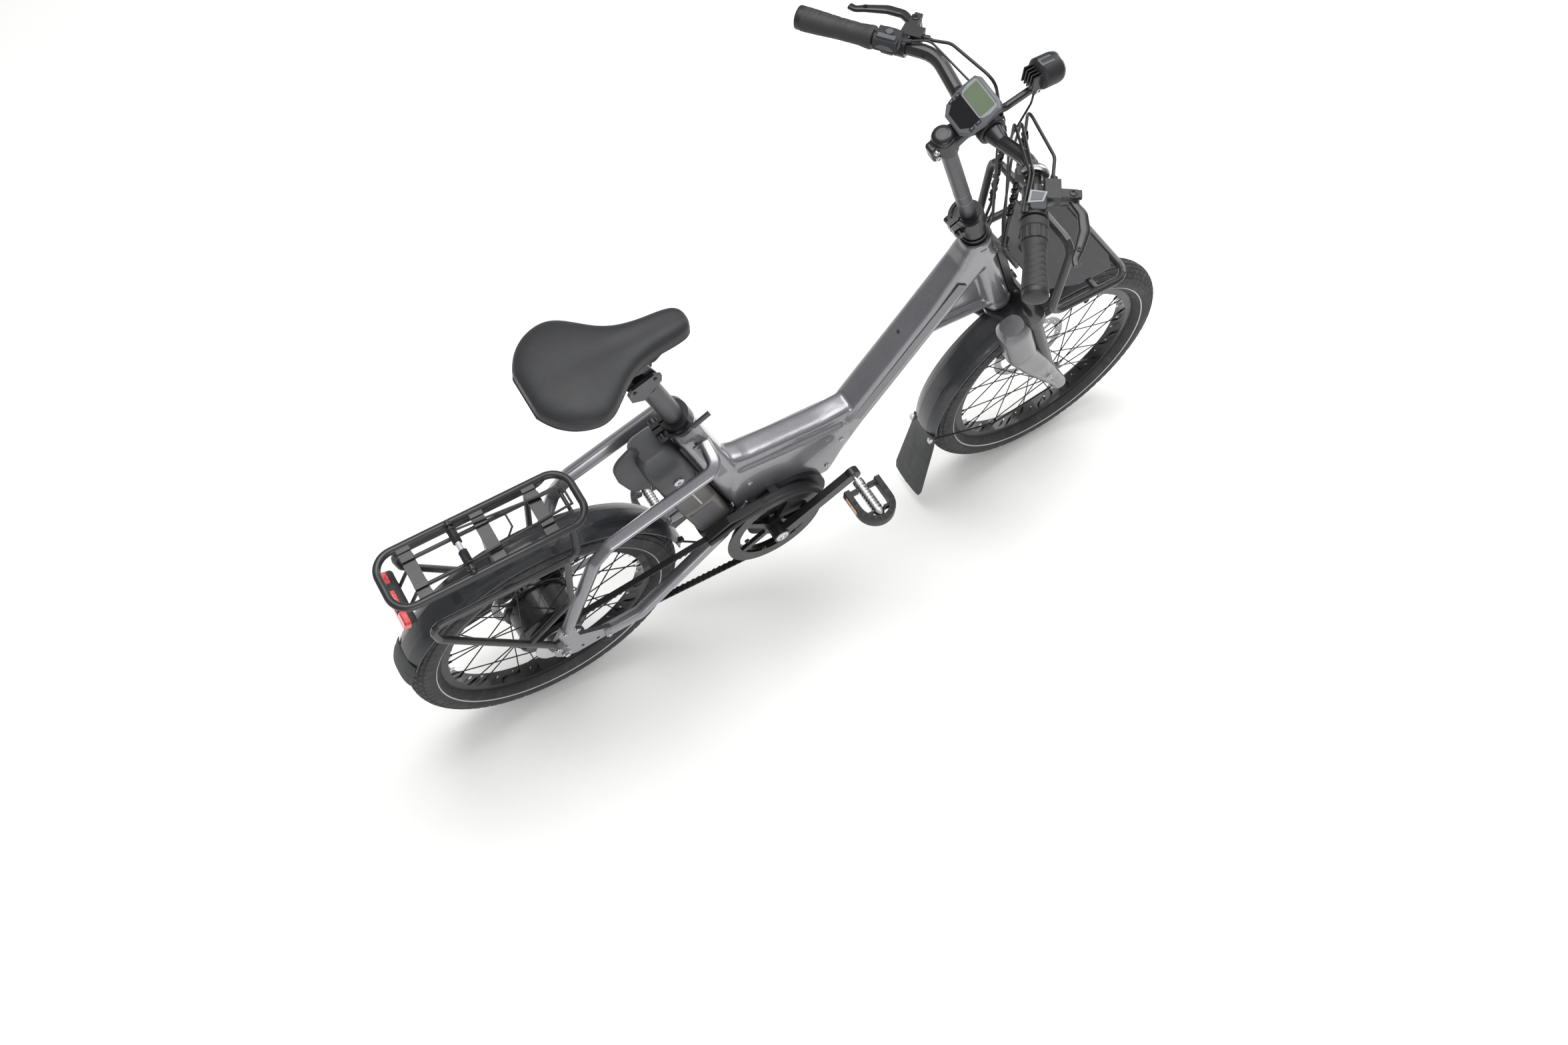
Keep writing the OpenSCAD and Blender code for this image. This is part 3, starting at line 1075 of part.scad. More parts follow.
// hoses, shift cables and leads between the handlebar and the head tube
function bar_pt(side, x, y, z) = let (p = grip_start + grip_dir * z + grip_fwd * x + cross(grip_dir, grip_fwd) * y)
  [p[0], side * p[1], p[2]];
module cable(pts, r) { sweep(bent_path(pts, 26), r, 8); }
module control_cables() color("#171819") place() {
  // brake hoses
  cable([bar_pt(-1, 26, 2, -66.5), bar_pt(-1, 30, 0, -110), steer_pt(118, -34, bar_s - 6),
    steer_pt(104, -18, bar_s - 120), steer_pt(52, -20, head_top_s + 10), steer_pt(30, -27, head_top_s - 40)], cable_r);
  cable([bar_pt(1, 26, 2, -66.5), bar_pt(1, 30, 0, -108), steer_pt(112, 38, bar_s - 10),
    steer_pt(98, 24, bar_s - 130), steer_pt(50, 26, head_top_s + 4), steer_pt(30, 30, head_top_s - 40)], cable_r);
  // shift cables from the twist grip
  for (k = [0, 1]) cable([bar_pt(-1, -13 - 5 * k, -15, -3), bar_pt(-1, -4 - 5 * k, -24, -60),
    steer_pt(96 - 8 * k, -52 + 6 * k, bar_s + 8), steer_pt(92 - 8 * k, -12, bar_s - 110),
    steer_pt(46, -12 - 6 * k, head_top_s + 6), steer_pt(28, -25, head_top_s - 46 - 8 * k)], 2.1);
  // leads of the remote, the display and the lamp
  cable([bar_pt(1, -6, -14, -46), bar_pt(1, 4, -20, -84), steer_pt(80, 22, bar_s + 12),
    steer_pt(84, 12, bar_s - 96), steer_pt(44, 14, head_top_s + 2), steer_pt(28, 26, head_top_s - 50)], 1.7);
  cable([light_o + [4, 0, -28], light_o + [6, 2, -60], steer_pt(70, 4, bar_s - 140),
    steer_pt(38, 6, head_top_s - 4), steer_pt(27, 22, head_top_s - 58)], 1.7);
}

// ---- parts ----
main_frame();
right_rear_stays();
left_rear_stays();
drive_motor();
belt_guard();
battery_dock();
seat_collar();
rack_frame();
tail_light();
rear_fender();
front_carrier();
headset_cups();
drive_belt();
rear_axle();
rear_caliper();
battery_case();
seat_lever();
seatpost();
link_front();
link_rear();
saddle_head();
suspension_spring();
saddle_rails();
saddle_pad();
luggage_clamp();
crank_arms();
crank_axle();
front_pulley();
right_pedal();
left_pedal();
rear_cog();
rear_hub();
rear_rim();
rear_spokes();
rear_tyre();
rear_disc();
front_hub();
front_rim();
front_spokes();
front_tyre();
front_disc();
fork_lowers();
front_caliper();
front_fender();
fork_crown();
stem_clamp();
stem_lever();
stem_tube();
handlebar();
grips();
bar_controls();
right_brake_lever();
left_brake_lever();
twist_shifter();
assist_rocker();
mode_button();
display();
headlight();
kickstand_leg();
control_cables();
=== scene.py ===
import json
from math import copysign, cos, exp, pi, radians, sin, sqrt, tan

import bmesh
import bpy
from mathutils import Matrix, Vector


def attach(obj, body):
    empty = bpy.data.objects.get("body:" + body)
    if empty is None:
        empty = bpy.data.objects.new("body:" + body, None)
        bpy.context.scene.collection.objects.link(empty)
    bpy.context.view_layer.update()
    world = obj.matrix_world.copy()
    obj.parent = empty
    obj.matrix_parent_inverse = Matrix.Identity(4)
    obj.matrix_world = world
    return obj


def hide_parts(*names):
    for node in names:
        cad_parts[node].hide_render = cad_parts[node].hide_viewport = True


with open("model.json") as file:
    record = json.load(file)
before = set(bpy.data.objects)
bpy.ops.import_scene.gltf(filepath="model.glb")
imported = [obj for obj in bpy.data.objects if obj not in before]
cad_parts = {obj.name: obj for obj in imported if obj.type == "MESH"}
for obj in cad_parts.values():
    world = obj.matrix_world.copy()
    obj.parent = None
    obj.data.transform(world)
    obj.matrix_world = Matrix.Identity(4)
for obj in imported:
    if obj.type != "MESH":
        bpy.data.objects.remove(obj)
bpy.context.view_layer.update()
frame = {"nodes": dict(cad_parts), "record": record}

# ---- places ----
# Lengths in the part's own terms are in mm from the rear axle's foot on the ground:
# x forward, y to the rider's left, z up. The joints of the record give where that is.
MM = 0.001
JOINT = {j["name"]: j for j in frame["record"]["behaviour"]["joints"]}
REAR = Vector(JOINT["rear_wheel_spin"]["pos_m"])
FRONT = Vector(JOINT["front_wheel_spin"]["pos_m"])
STEER = Vector(JOINT["steering"]["pos_m"])
STEER_UP = Vector(JOINT["steering"]["axis"]).normalized()
STEER_FWD = Vector((STEER_UP.z, 0, -STEER_UP.x))
SEAT_UP = Vector(JOINT["seat_height"]["axis"]).normalized()
SEAT_FWD = Vector((SEAT_UP.z, 0, -SEAT_UP.x))
BB = Vector(JOINT["crank_spin"]["pos_m"])
X, Y, Z = Vector((1, 0, 0)), Vector((0, 1, 0)), Vector((0, 0, 1))
BAR_S, HEAD_TOP_S = 878, 593  # the bar clamp and the head tube's top, up the steering axis
STEM_REACH = 59
FENDER_R = 274.0
FENDER_OUT, FENDER_HALF = 275.6, 33.5


def mm(x, y, z):
    """An offset given in mm."""
    return Vector((x, y, z)) * MM


def outward(angle):
    """The direction at an angle in the wheels' plane, from straight ahead and up."""
    return X * cos(angle) + Z * sin(angle)


def polar(centre, angle, r, y=0.0):
    """A point r mm from centre in the wheels' plane, moved y mm to the left."""
    return centre + X * (r * MM * cos(angle)) + Z * (r * MM * sin(angle)) + Y * (y * MM)


def at(x, y, z):
    """A point given in mm from the rear axle's foot."""
    return Vector((REAR.x + x * MM, y * MM, z * MM))


def on_steer(x, y, s):
    """A point s mm up the steering axis, x forward of it and y to the left."""
    return STEER + STEER_FWD * (x * MM) + STEER_UP * (s * MM) + Y * (y * MM)


def on_seat(z, x=0, y=0):
    """The seat tube's axis at height z, moved x mm across it and y to the left."""
    base = at(383, 0, 400)
    return base + SEAT_UP * ((z - 400) * MM / SEAT_UP.z) + SEAT_FWD * (x * MM) + Y * (y * MM)


# ---- materials ----
def node(tree, kind, inputs=None, **props):
    n = tree.nodes.new(kind)
    for k, v in props.items():
        setattr(n, k, v)
    for k, v in (inputs or {}).items():
        n.inputs[k].default_value = v
    return n


def rgb(c):
    return (c[0], c[1], c[2], 1.0)


def material(name, color, rough, mottle=0.12, fine=900, depth=0.12, metal=0.0, coat=0.0, mottle_scale=14,
        grain="noise", stretch=(1, 1, 1), rough_spread=0.08, edge=0.0, specks=0.0, dust=0.0, sheen=0.0, spec=0.5):
    """A finish: mottled colour, uneven roughness and a fine raised grain, all from noise in the object's own space."""
    m = bpy.data.materials.new(name)
    m.use_nodes = True
    t = m.node_tree
    link = t.links.new
    out = t.nodes["Principled BSDF"]
    coords = node(t, "ShaderNodeTexCoord")

    def placed(kind, inputs):
        n = node(t, kind, inputs)
        link(coords.outputs["Object"], n.inputs["Vector"])
        return n

    wide = placed("ShaderNodeTexNoise", {"Scale": mottle_scale, "Detail": 5.0, "Roughness": 0.6})
    ramp = node(t, "ShaderNodeValToRGB")
    ramp.color_ramp.elements[0].position = 0.3
    ramp.color_ramp.elements[1].position = 0.7
    ramp.color_ramp.elements[0].color = rgb([c * (1 - mottle) for c in color])
    ramp.color_ramp.elements[1].color = rgb([min(1, c * (1 + mottle)) for c in color])
    link(wide.outputs["Fac"], ramp.inputs["Fac"])
    colour = ramp.outputs["Color"]
    if specks:
        flake = placed("ShaderNodeTexVoronoi", {"Scale": 2600.0})
        lift = node(t, "ShaderNodeMix", {"Factor": specks}, data_type="RGBA", blend_type="OVERLAY")
        grey = node(t, "ShaderNodeSeparateColor")
        link(flake.outputs["Color"], grey.inputs["Color"])
        link(colour, lift.inputs["A"])
        link(grey.outputs["Red"], lift.inputs["B"])
        colour = lift.outputs["Result"]
    if dust:
        puff = placed("ShaderNodeTexNoise", {"Scale": 46.0, "Detail": 8.0, "Roughness": 0.7})
        gate = node(t, "ShaderNodeMapRange", {"From Min": 0.52, "From Max": 0.78, "To Max": dust})
        link(puff.outputs["Fac"], gate.inputs["Value"])
        mix = node(t, "ShaderNodeMix", data_type="RGBA")
        mix.inputs["B"].default_value = (0.32, 0.30, 0.27, 1)
        link(gate.outputs["Result"], mix.inputs["Factor"])
        link(colour, mix.inputs["A"])
        colour = mix.outputs["Result"]
    link(colour, out.inputs["Base Color"])
    smear = placed("ShaderNodeTexNoise", {"Scale": mottle_scale * 3.1, "Detail": 6.0})
    spread = node(t, "ShaderNodeMapRange", {"To Min": max(0.03, rough - rough_spread), "To Max":
        min(1.0, rough + rough_spread)})
    link(smear.outputs["Fac"], spread.inputs["Value"])
    link(spread.outputs["Result"], out.inputs["Roughness"])
    place = placed("ShaderNodeMapping", {"Scale": stretch})
    if grain == "cells":
        fine = node(t, "ShaderNodeTexVoronoi", {"Scale": fine}, feature="DISTANCE_TO_EDGE")
        height = fine.outputs["Distance"]
    else:
        fine = node(t, "ShaderNodeTexNoise", {"Scale": fine, "Detail": 3.0, "Roughness": 0.65})
        height = fine.outputs["Fac"]
    link(place.outputs["Vector"], fine.inputs["Vector"])
    bump = node(t, "ShaderNodeBump", {"Strength": depth, "Distance": 0.0006})
    link(height, bump.inputs["Height"])
    if edge:
        soft = node(t, "ShaderNodeBevel", {"Radius": edge}, samples=4)
        link(soft.outputs["Normal"], bump.inputs["Normal"])
    link(bump.outputs["Normal"], out.inputs["Normal"])
    for socket, value in (("Metallic", metal), ("Coat Weight", coat), ("Coat Roughness", 0.06),
            ("Sheen Weight", sheen), ("Specular IOR Level", spec)):
        out.inputs[socket].default_value = value
    m.diffuse_color = rgb(color)
    return m


def glassy(name, color, rough=0.08, pattern=700, depth=0.6, glow=0.0):
    """A moulded lens: clear coat over a field of small prisms."""
    m = material(name, color, rough, coat=1.0, mottle=0.25, mottle_scale=40, grain="cells", fine=pattern,
        depth=depth, spec=0.7)
    if glow:
        b = m.node_tree.nodes["Principled BSDF"]
        b.inputs["Emission Color"].default_value = rgb(color)
        b.inputs["Emission Strength"].default_value = glow
    return m


MAT = {
    "paint": material("frame_silver_grey", (0.235, 0.235, 0.25), 0.3, 0.05, 1800, 0.03, metal=0.72, coat=0.7,
        specks=0.28, rough_spread=0.05),
    "paint_dark": material("frame_band_grey", (0.115, 0.116, 0.124), 0.34, 0.06, 1800, 0.03, metal=0.6, coat=0.6,
        specks=0.2, rough_spread=0.05),
    "shell": material("fork_gloss_silver", (0.15, 0.15, 0.16), 0.34, 0.04, 1500, 0.02, metal=0.55, coat=0.5,
        specks=0.15, rough_spread=0.04),
    "leg": material("fork_dark_leg", (0.05, 0.052, 0.058), 0.28, 0.1, 1500, 0.03, metal=0.5, coat=0.6),
    "tube": material("black_powder_tube", (0.011, 0.011, 0.012), 0.42, 0.2, 1500, 0.16, coat=0.25, edge=0.0008,
        dust=0.05),
    "alloy": material("black_anodised", (0.013, 0.013, 0.0145), 0.36, 0.16, 2200, 0.06, metal=0.35, coat=0.25,
        edge=0.0008),
    "grey_alloy": material("grey_anodised", (0.105, 0.106, 0.112), 0.38, 0.08, 500, 0.08, metal=0.8,
        stretch=(6, 6, 1), edge=0.0006),
    "bare": material("turned_alloy", (0.55, 0.55, 0.56), 0.3, 0.07, 900, 0.06, metal=1, stretch=(1, 8, 1),
        edge=0.0006),
    "steel": material("zinc_steel", (0.6, 0.6, 0.61), 0.25, 0.1, 1400, 0.06, metal=1, edge=0.0004),
    "disc": material("ground_disc", (0.5, 0.5, 0.5), 0.3, 0.08, 300, 0.12, metal=1, stretch=(1, 0.1, 1)),
    "spoke": material("black_spoke", (0.012, 0.012, 0.0125), 0.3, 0.15, 900, 0.04, metal=0.5),
    "motor": material("motor_cast_shell", (0.012, 0.012, 0.013), 0.5, 0.18, 700, 0.3, metal=0.1, edge=0.0012),
    "plastic": material("black_moulded", (0.0125, 0.0125, 0.014), 0.48, 0.14, 1500, 0.12, grain="cells",
        edge=0.0008),
    "fender": material("fender_satin", (0.018, 0.019, 0.023), 0.33, 0.1, 420, 0.05, coat=0.35, edge=0.0008,
        dust=0.05),
    "flap": material("flap_rubber", (0.026, 0.027, 0.03), 0.58, 0.12, 1100, 0.2, grain="cells", dust=0.12),
    "battery_top": material("battery_hood", (0.062, 0.063, 0.068), 0.45, 0.08, 1600, 0.12, metal=0.2,
        grain="cells"),
    "battery_side": material("battery_metallic", (0.125, 0.122, 0.115), 0.42, 0.12, 1300, 0.14, metal=0.65,
        specks=0.45),
    "grey": material("grey_moulded", (0.085, 0.087, 0.095), 0.45, 0.08, 1600, 0.1, grain="cells", edge=0.0006),
    "pale_grey": material("pale_bezel", (0.24, 0.25, 0.265), 0.35, 0.05, 1600, 0.05),
    "screen": material("black_glass", (0.004, 0.004, 0.005), 0.3, 0.2, 20, 0.01, spec=0.3, rough_spread=0.03),
    "lcd": material("lcd_field", (0.115, 0.15, 0.095), 0.3, 0.05, 2400, 0.02, spec=0.3, grain="cells",
        rough_spread=0.05),
    "tyre": material("tyre_rubber", (0.02, 0.02, 0.0205), 0.66, 0.2, 1100, 0.35, dust=0.16, rough_spread=0.12),
    "reflex": material("reflective_line", (0.46, 0.47, 0.48), 0.35, 0.08, 1500, 0.2, metal=0.3, grain="cells"),
    "grip": material("grip_rubber", (0.021, 0.021, 0.022), 0.62, 0.12, 900, 0.3, grain="cells", dust=0.05),
    "belt": material("belt_rubber", (0.009, 0.009, 0.0095), 0.55, 0.2, 700, 0.35, edge=0.0006),
    "cable": material("cable_jacket", (0.008, 0.008, 0.0085), 0.4, 0.15, 1500, 0.08),
    "cover": material("saddle_cover", (0.0165, 0.017, 0.0185), 0.52, 0.1, 820, 0.22, mottle_scale=9, grain="cells",
        sheen=0.08, dust=0.02, spec=0.35),
    "red": glassy("lamp_red_lens", (0.62, 0.012, 0.016), pattern=420, depth=0.7, glow=0.12),
    "amber": glassy("amber_reflector", (0.5, 0.2, 0.02), pattern=500, depth=0.7),
    "clear": glassy("clear_lens", (0.55, 0.57, 0.6), rough=0.05, pattern=260, depth=0.8),
    "light_line": material("battery_light_line", (0.36, 0.36, 0.36), 0.4, 0.06, 900, 0.05),
    }

FINISH = {
    "paint": "main_frame right_rear_stays left_rear_stays",
    "motor": "drive_motor",
    "plastic": "belt_guard battery_dock right_pedal left_pedal bar_controls headlight",
    "alloy": "seat_collar headset_cups rear_caliper seat_lever link_front link_rear saddle_head crank_arms "
    "front_pulley rear_hub rear_rim fork_crown front_caliper front_hub front_rim stem_clamp stem_lever "
    "handlebar right_brake_lever left_brake_lever kickstand_leg",
    "tube": "rack_frame front_carrier saddle_rails luggage_clamp",
    "red": "tail_light",
    "fender": "rear_fender front_fender",
    "belt": "drive_belt",
    "steel": "rear_axle suspension_spring crank_axle",
    "battery_side": "battery_case",
    "grey_alloy": "seatpost stem_tube",
    "cover": "saddle_pad",
    "bare": "rear_cog",
    "spoke": "rear_spokes front_spokes",
    "tyre": "rear_tyre front_tyre",
    "disc": "rear_disc front_disc",
    "shell": "fork_lowers",
    "grip": "grips twist_shifter",
    "grey": "display assist_rocker mode_button",
    "cable": "control_cables",
    }
FINISH = {node_name: finish for finish, names in FINISH.items() for node_name in names.split()}
for name, obj in frame["nodes"].items():
    obj.data.materials.clear()
    obj.data.materials.append(MAT[FINISH[name]])
    obj.data.set_sharp_from_angle(angle=radians(32))


# ---- mesh helpers ----
class Parts(list):
    """(verts, faces, finish) parts of one piece."""

    def add(self, finish, *shapes):
        self.extend((v, f, finish) for v, f in shapes)


def joined(name, parts):
    """One mesh of the verts and faces of all the parts."""
    verts, faces = [], []
    for v, f, *_ in parts:
        base = len(verts)
        verts += [tuple(p) for p in v]
        faces += [tuple(base + i for i in face) for face in f]
    me = bpy.data.meshes.new(name)
    me.from_pydata(verts, [], faces)
    return me


def clean(me, doubles=0.0, loose=False):
    """Turns the faces outwards, after joining doubles and dropping loose vertices where asked."""
    bm = bmesh.new()
    bm.from_mesh(me)
    if doubles:
        bmesh.ops.remove_doubles(bm, verts=bm.verts, dist=doubles)
    if loose:
        bmesh.ops.delete(bm, geom=[q for q in bm.verts if not q.link_faces], context="VERTS")
    bmesh.ops.recalc_face_normals(bm, faces=bm.faces)
    bm.to_mesh(me)
    bm.free()


def between(table, t, eased=True):
    """The columns after the first of a table at t, whose first column runs steadily up or down."""
    way = 1 if table[-1][0] > table[0][0] else -1
    j = max(k for k in range(len(table)) if way * table[k][0] <= way * t + 1e-9)
    p, q = table[min(j, len(table) - 2)], table[min(j, len(table) - 2) + 1]
    f = (t - p[0]) / (q[0] - p[0])
    if eased:
        f = f * f * (3 - 2 * f)
    return [a + (b - a) * f for a, b in zip(p[1:], q[1:])]


def piece(name, parts, body, replaces=(), angle=38.0):
    """One object from (verts, faces, finish) parts, with each part's faces in its own finish."""
    me = joined(name, parts)
    mats = list(dict.fromkeys(finish for _, _, finish in parts))
    marks = [mats.index(finish) for _, f, finish in parts for _ in f]
    for poly, k in zip(me.polygons, marks):
        poly.material_index = k
        poly.use_smooth = True
    for k in mats:
        me.materials.append(MAT[k])
    clean(me, 1e-7)
    me.set_sharp_from_angle(angle=radians(angle))
    o = bpy.data.objects.new(name, me)
    bpy.context.scene.collection.objects.link(o)
    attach(o, body)
    if replaces:
        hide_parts(*replaces)
    return o


def skin(rings, closed=False, caps=True):
    """Faces over a row of rings of points."""
    n, m = len(rings[0]), len(rings)
    verts = [p for r in rings for p in r]
    faces = []
    for i in range(m if closed else m - 1):
        j = (i + 1) % m
        faces += [(i * n + k, i * n + (k + 1) % n, j * n + (k + 1) % n, j * n + k) for k in range(n)]
    if caps and not closed:
        faces += [tuple(range(n))[::-1], tuple((m - 1) * n + k for k in range(n))]
    return verts, faces


def oval(centre, u, v, a, b, power=2.0, n=24):
    """A ring of points, round at power 2 and squarer above it. a and b are in mm."""
    out = []
    for k in range(n):
        t = 2 * pi * (k + 0.5) / n
        c, s = cos(t), sin(t)
        out.append(centre + u * (a * MM * copysign(abs(c) ** (2 / power), c)) + v *
            (b * MM * copysign(abs(s) ** (2 / power), s)))
    return out


def lathe(profile, origin, axis, n=40, wave=None):
    """A closed turned shape. profile is (radius, along) in mm; wave(angle, i) may add to the radius."""
    w = axis.normalized()
    u = w.orthogonal().normalized() if abs(w.y) < 0.99 else X.copy()
    v = w.cross(u)
    rings = []
    for i, (r, h) in enumerate(profile):
        ring = []
        for k in range(n):
            t = 2 * pi * k / n
            rr = max(r + (wave(t, i) if wave and r > 0 else 0), 0.02) * MM
            ring.append(origin + w * (h * MM) + u * (rr * cos(t)) + v * (rr * sin(t)))
        rings.append(ring)
    return skin(rings)


def rounded(points, radius, steps=6):
    """The path with its corners rounded, in metres."""
    out = [points[0]]
    for a, b, c in zip(points, points[1:], points[2:]):
        u, w = (a - b), (c - b)
        half = u.angle(w) / 2
        d = min(radius * MM / max(tan(half), 1e-3), u.length * 0.48, w.length * 0.48)
        p, q = b + u.normalized() * d, b + w.normalized() * d
        for k in range(steps + 1):
            t = k / steps
            out.append(p * (1 - t) ** 2 + b * (2 * t * (1 - t)) + q * t ** 2)
    out.append(points[-1])
    return out


def sweep(points, radius, n=12, power=2.0, up=Z, caps=True):
    """A tube along points. radius is mm, or a pair (across, up), or a function of 0..1 giving either."""
    total = sum((b - a).length for a, b in zip(points, points[1:]))
    rings, gone, side = [], 0.0, None
    for i, p in enumerate(points):
        if i:
            gone += (p - points[i - 1]).length
        t = (points[min(i + 1, len(points) - 1)] - points[max(i - 1, 0)]).normalized()
        side = (side - t * side.dot(t)) if side else up.cross(t)
        if side.length < 1e-5:
            side = t.orthogonal()
        side.normalize()
        r = radius(gone / total) if callable(radius) else radius
        a, b = r if isinstance(r, tuple) else (r, r)
        rings.append(oval(p, side, t.cross(side), a, b, power, n))
    return skin(rings, caps=caps)


def slab(corners, normal, thick, chamfer=0.8):
    """A flat plate: corners run round its middle face, thick in mm along normal, with chamfered edges."""
    centre = sum(corners, Vector()) / len(corners)
    w = normal.normalized()
    h = thick * MM / 2

    def shrink(p):
        d = centre - p
        return p + d.normalized() * min(chamfer * MM, d.length * 0.4)

    return skin([[shrink(p) - w * h for p in corners], [p - w * (h - chamfer * MM) for p in corners],
        [p + w * (h - chamfer * MM) for p in corners], [shrink(p) + w * h for p in corners]])


def block(centre, u, v, w, a, b, c, chamfer=1.0):
    """A chamfered block of half sizes a, b, c mm along u, v and w."""
    pts = [centre + u * (s * a * MM) + v * (t * b * MM) for s, t in ((-1, -1), (1, -1), (1, 1), (-1, 1))]
    cut = []
    for k in range(4):
        p, q, r = pts[k - 1], pts[k], pts[(k + 1) % 4]
        d = min(chamfer * 1.4, a * 0.4, b * 0.4) * MM
        cut += [q + (p - q).normalized() * d, q + (r - q).normalized() * d]
    return slab(cut, w, 2 * c, min(chamfer, c * 0.45))


def screw(p, axis, r=3.5, h=3.0, finish="steel"):
    """A socket head screw standing h mm proud at p."""
    w = axis.normalized()
    prof = [(r * 0.9, -1.0), (r, -0.6), (r, h * 0.8), (r * 0.86, h), (r * 0.55, h), (r * 0.5, h * 0.35),
        (0, h * 0.3)]

    def hexed(t, i):
        if i in (4, 5, 6):
            return -0.1 * r * (1 - cos(6 * t)) * 0.5
        return 0.0

    v, f = lathe(prof, p, w, 24, hexed)
    return v, f, finish


def helix(origin, axis, r, wire, turns, length, per_turn=14, n=6):
    w = axis.normalized()
    u = w.orthogonal().normalized()
    v = w.cross(u)
    steps = int(turns * per_turn)
    pts = []
    for i in range(steps + 1):
        t = 2 * pi * i / per_turn
        pts.append(origin + w * (length * MM * i / steps) + u * (r * MM * cos(t)) + v * (r * MM * sin(t)))
    return sweep(pts, wire, n, up=w)


def merged(parts, voxel, smooth, finish_name):
    """One smooth skin over several overlapping solids, as a welded and filled frame has."""
    me = joined("weld", parts)
    clean(me)
    o = bpy.data.objects.new("weld", me)
    bpy.context.scene.collection.objects.link(o)
    r = o.modifiers.new("r", "REMESH")
    r.mode = "VOXEL"
    r.voxel_size = voxel * MM
    s = o.modifiers.new("s", "SMOOTH")
    s.factor = 0.5
    s.iterations = smooth
    dg = bpy.context.evaluated_depsgraph_get()
    done = o.evaluated_get(dg).to_mesh()
    out = [v.co.copy() for v in done.vertices], [tuple(p.vertices) for p in done.polygons], finish_name
    o.evaluated_get(dg).to_mesh_clear()
    bpy.data.objects.remove(o)
    return out


# ---- camera, light and floor ----
CAM_AT = Vector((-0.80192, -1.0950, 2.6512))
LOOK = Vector((0.2509, 0.4182, -0.8730)).normalized()
ROLL = 0.0108
right = LOOK.cross(Z).normalized()
above = right.cross(LOOK)
cam_x = right * cos(ROLL) + above * sin(ROLL)
cam_y = above * cos(ROLL) - right * sin(ROLL)
cam = bpy.data.objects.new("camera", bpy.data.cameras.new("camera"))
cam.matrix_world = Matrix.Translation(CAM_AT) @ Matrix((cam_x, cam_y, -LOOK)).transposed().to_4x4()
cam.data.sensor_width = 36.0
cam.data.lens = 33.95
cam.data.shift_x = 0.0308
cam.data.shift_y = -0.0215
bpy.context.scene.collection.objects.link(cam)
bpy.context.scene.camera = cam


def softbox(name, where, target, size, watts):
    d = bpy.data.lights.new(name, "AREA")
    d.shape = "RECTANGLE"
    d.size, d.size_y = size
    d.energy = watts
    o = bpy.data.objects.new(name, d)
    o.location = where
    o.rotation_euler = (Vector(target) - Vector(where)).to_track_quat("-Z", "Y").to_euler()
    bpy.context.scene.collection.objects.link(o)


softbox("overhead", (0.3, 0.6, 3.9), (0, 0, 0.4), (3.4, 2.2), 118)
softbox("right_side", (-1.4, -3.4, 1.7), (0, 0, 0.5), (2.8, 1.2), 52)
softbox("front_side", (3.4, 1.0, 1.9), (0.2, 0, 0.5), (1.2, 2.2), 40)
world = bpy.data.worlds.new("studio")
world.use_nodes = True
wt = world.node_tree
ray = node(wt, "ShaderNodeTexCoord")
split = node(wt, "ShaderNodeSeparateXYZ")
lift = node(wt, "ShaderNodeValToRGB")
lift.color_ramp.elements[0].position = 0.0
lift.color_ramp.elements[0].color = (0.2, 0.2, 0.21, 1)
lift.color_ramp.elements[1].position = 0.85
lift.color_ramp.elements[1].color = (0.95, 0.95, 0.96, 1)
wt.links.new(ray.outputs["Generated"], split.inputs["Vector"])
wt.links.new(split.outputs["Z"], lift.inputs["Fac"])
wt.links.new(lift.outputs["Color"], wt.nodes["Background"].inputs["Color"])
wt.nodes["Background"].inputs["Strength"].default_value = 0.75
bpy.context.scene.world = world
bpy.context.scene.view_settings.view_transform = "Standard"

floor_mesh = bpy.data.meshes.new("floor")
floor_mesh.from_pydata([(-9, -9, -0.0005), (9, -9, -0.0005), (9, 9, -0.0005), (-9, 9, -0.0005)], [], [(0, 1, 2, 3)])
floor = bpy.data.objects.new("floor", floor_mesh)
floor_mesh.materials.append(material("studio_floor", (0.9, 0.9, 0.885), 0.55, mottle=0.012, mottle_scale=3,
    fine=160, depth=0.05))
bpy.context.scene.collection.objects.link(floor)

# ---- frame ----
DOWN_LOW, DOWN_TOP = at(566, 0, 376), on_steer(0, 0, 559)
DOWN = (DOWN_TOP - DOWN_LOW).normalized()
DOWN_UP = Vector((-DOWN.z, 0, DOWN.x))


def along(a, b, sizes, u, power, n=32):
    """A straight tube from a to b whose (share, half width, half height) changes along it."""
    rings = []
    for i in range(25):
        t = i / 24
        wide, high = between(sizes, t)
        v = (b - a).normalized().cross(u)
        rings.append(oval(a.lerp(b, t), u, v, wide, high, power, n))
    return skin(rings)


def plate(points, y, half):
    """A side plate: (x, z) points in mm, centred at y with that half width."""
    return slab([at(px, y, pz) for px, pz in points], Y, 2 * half, 3.0)


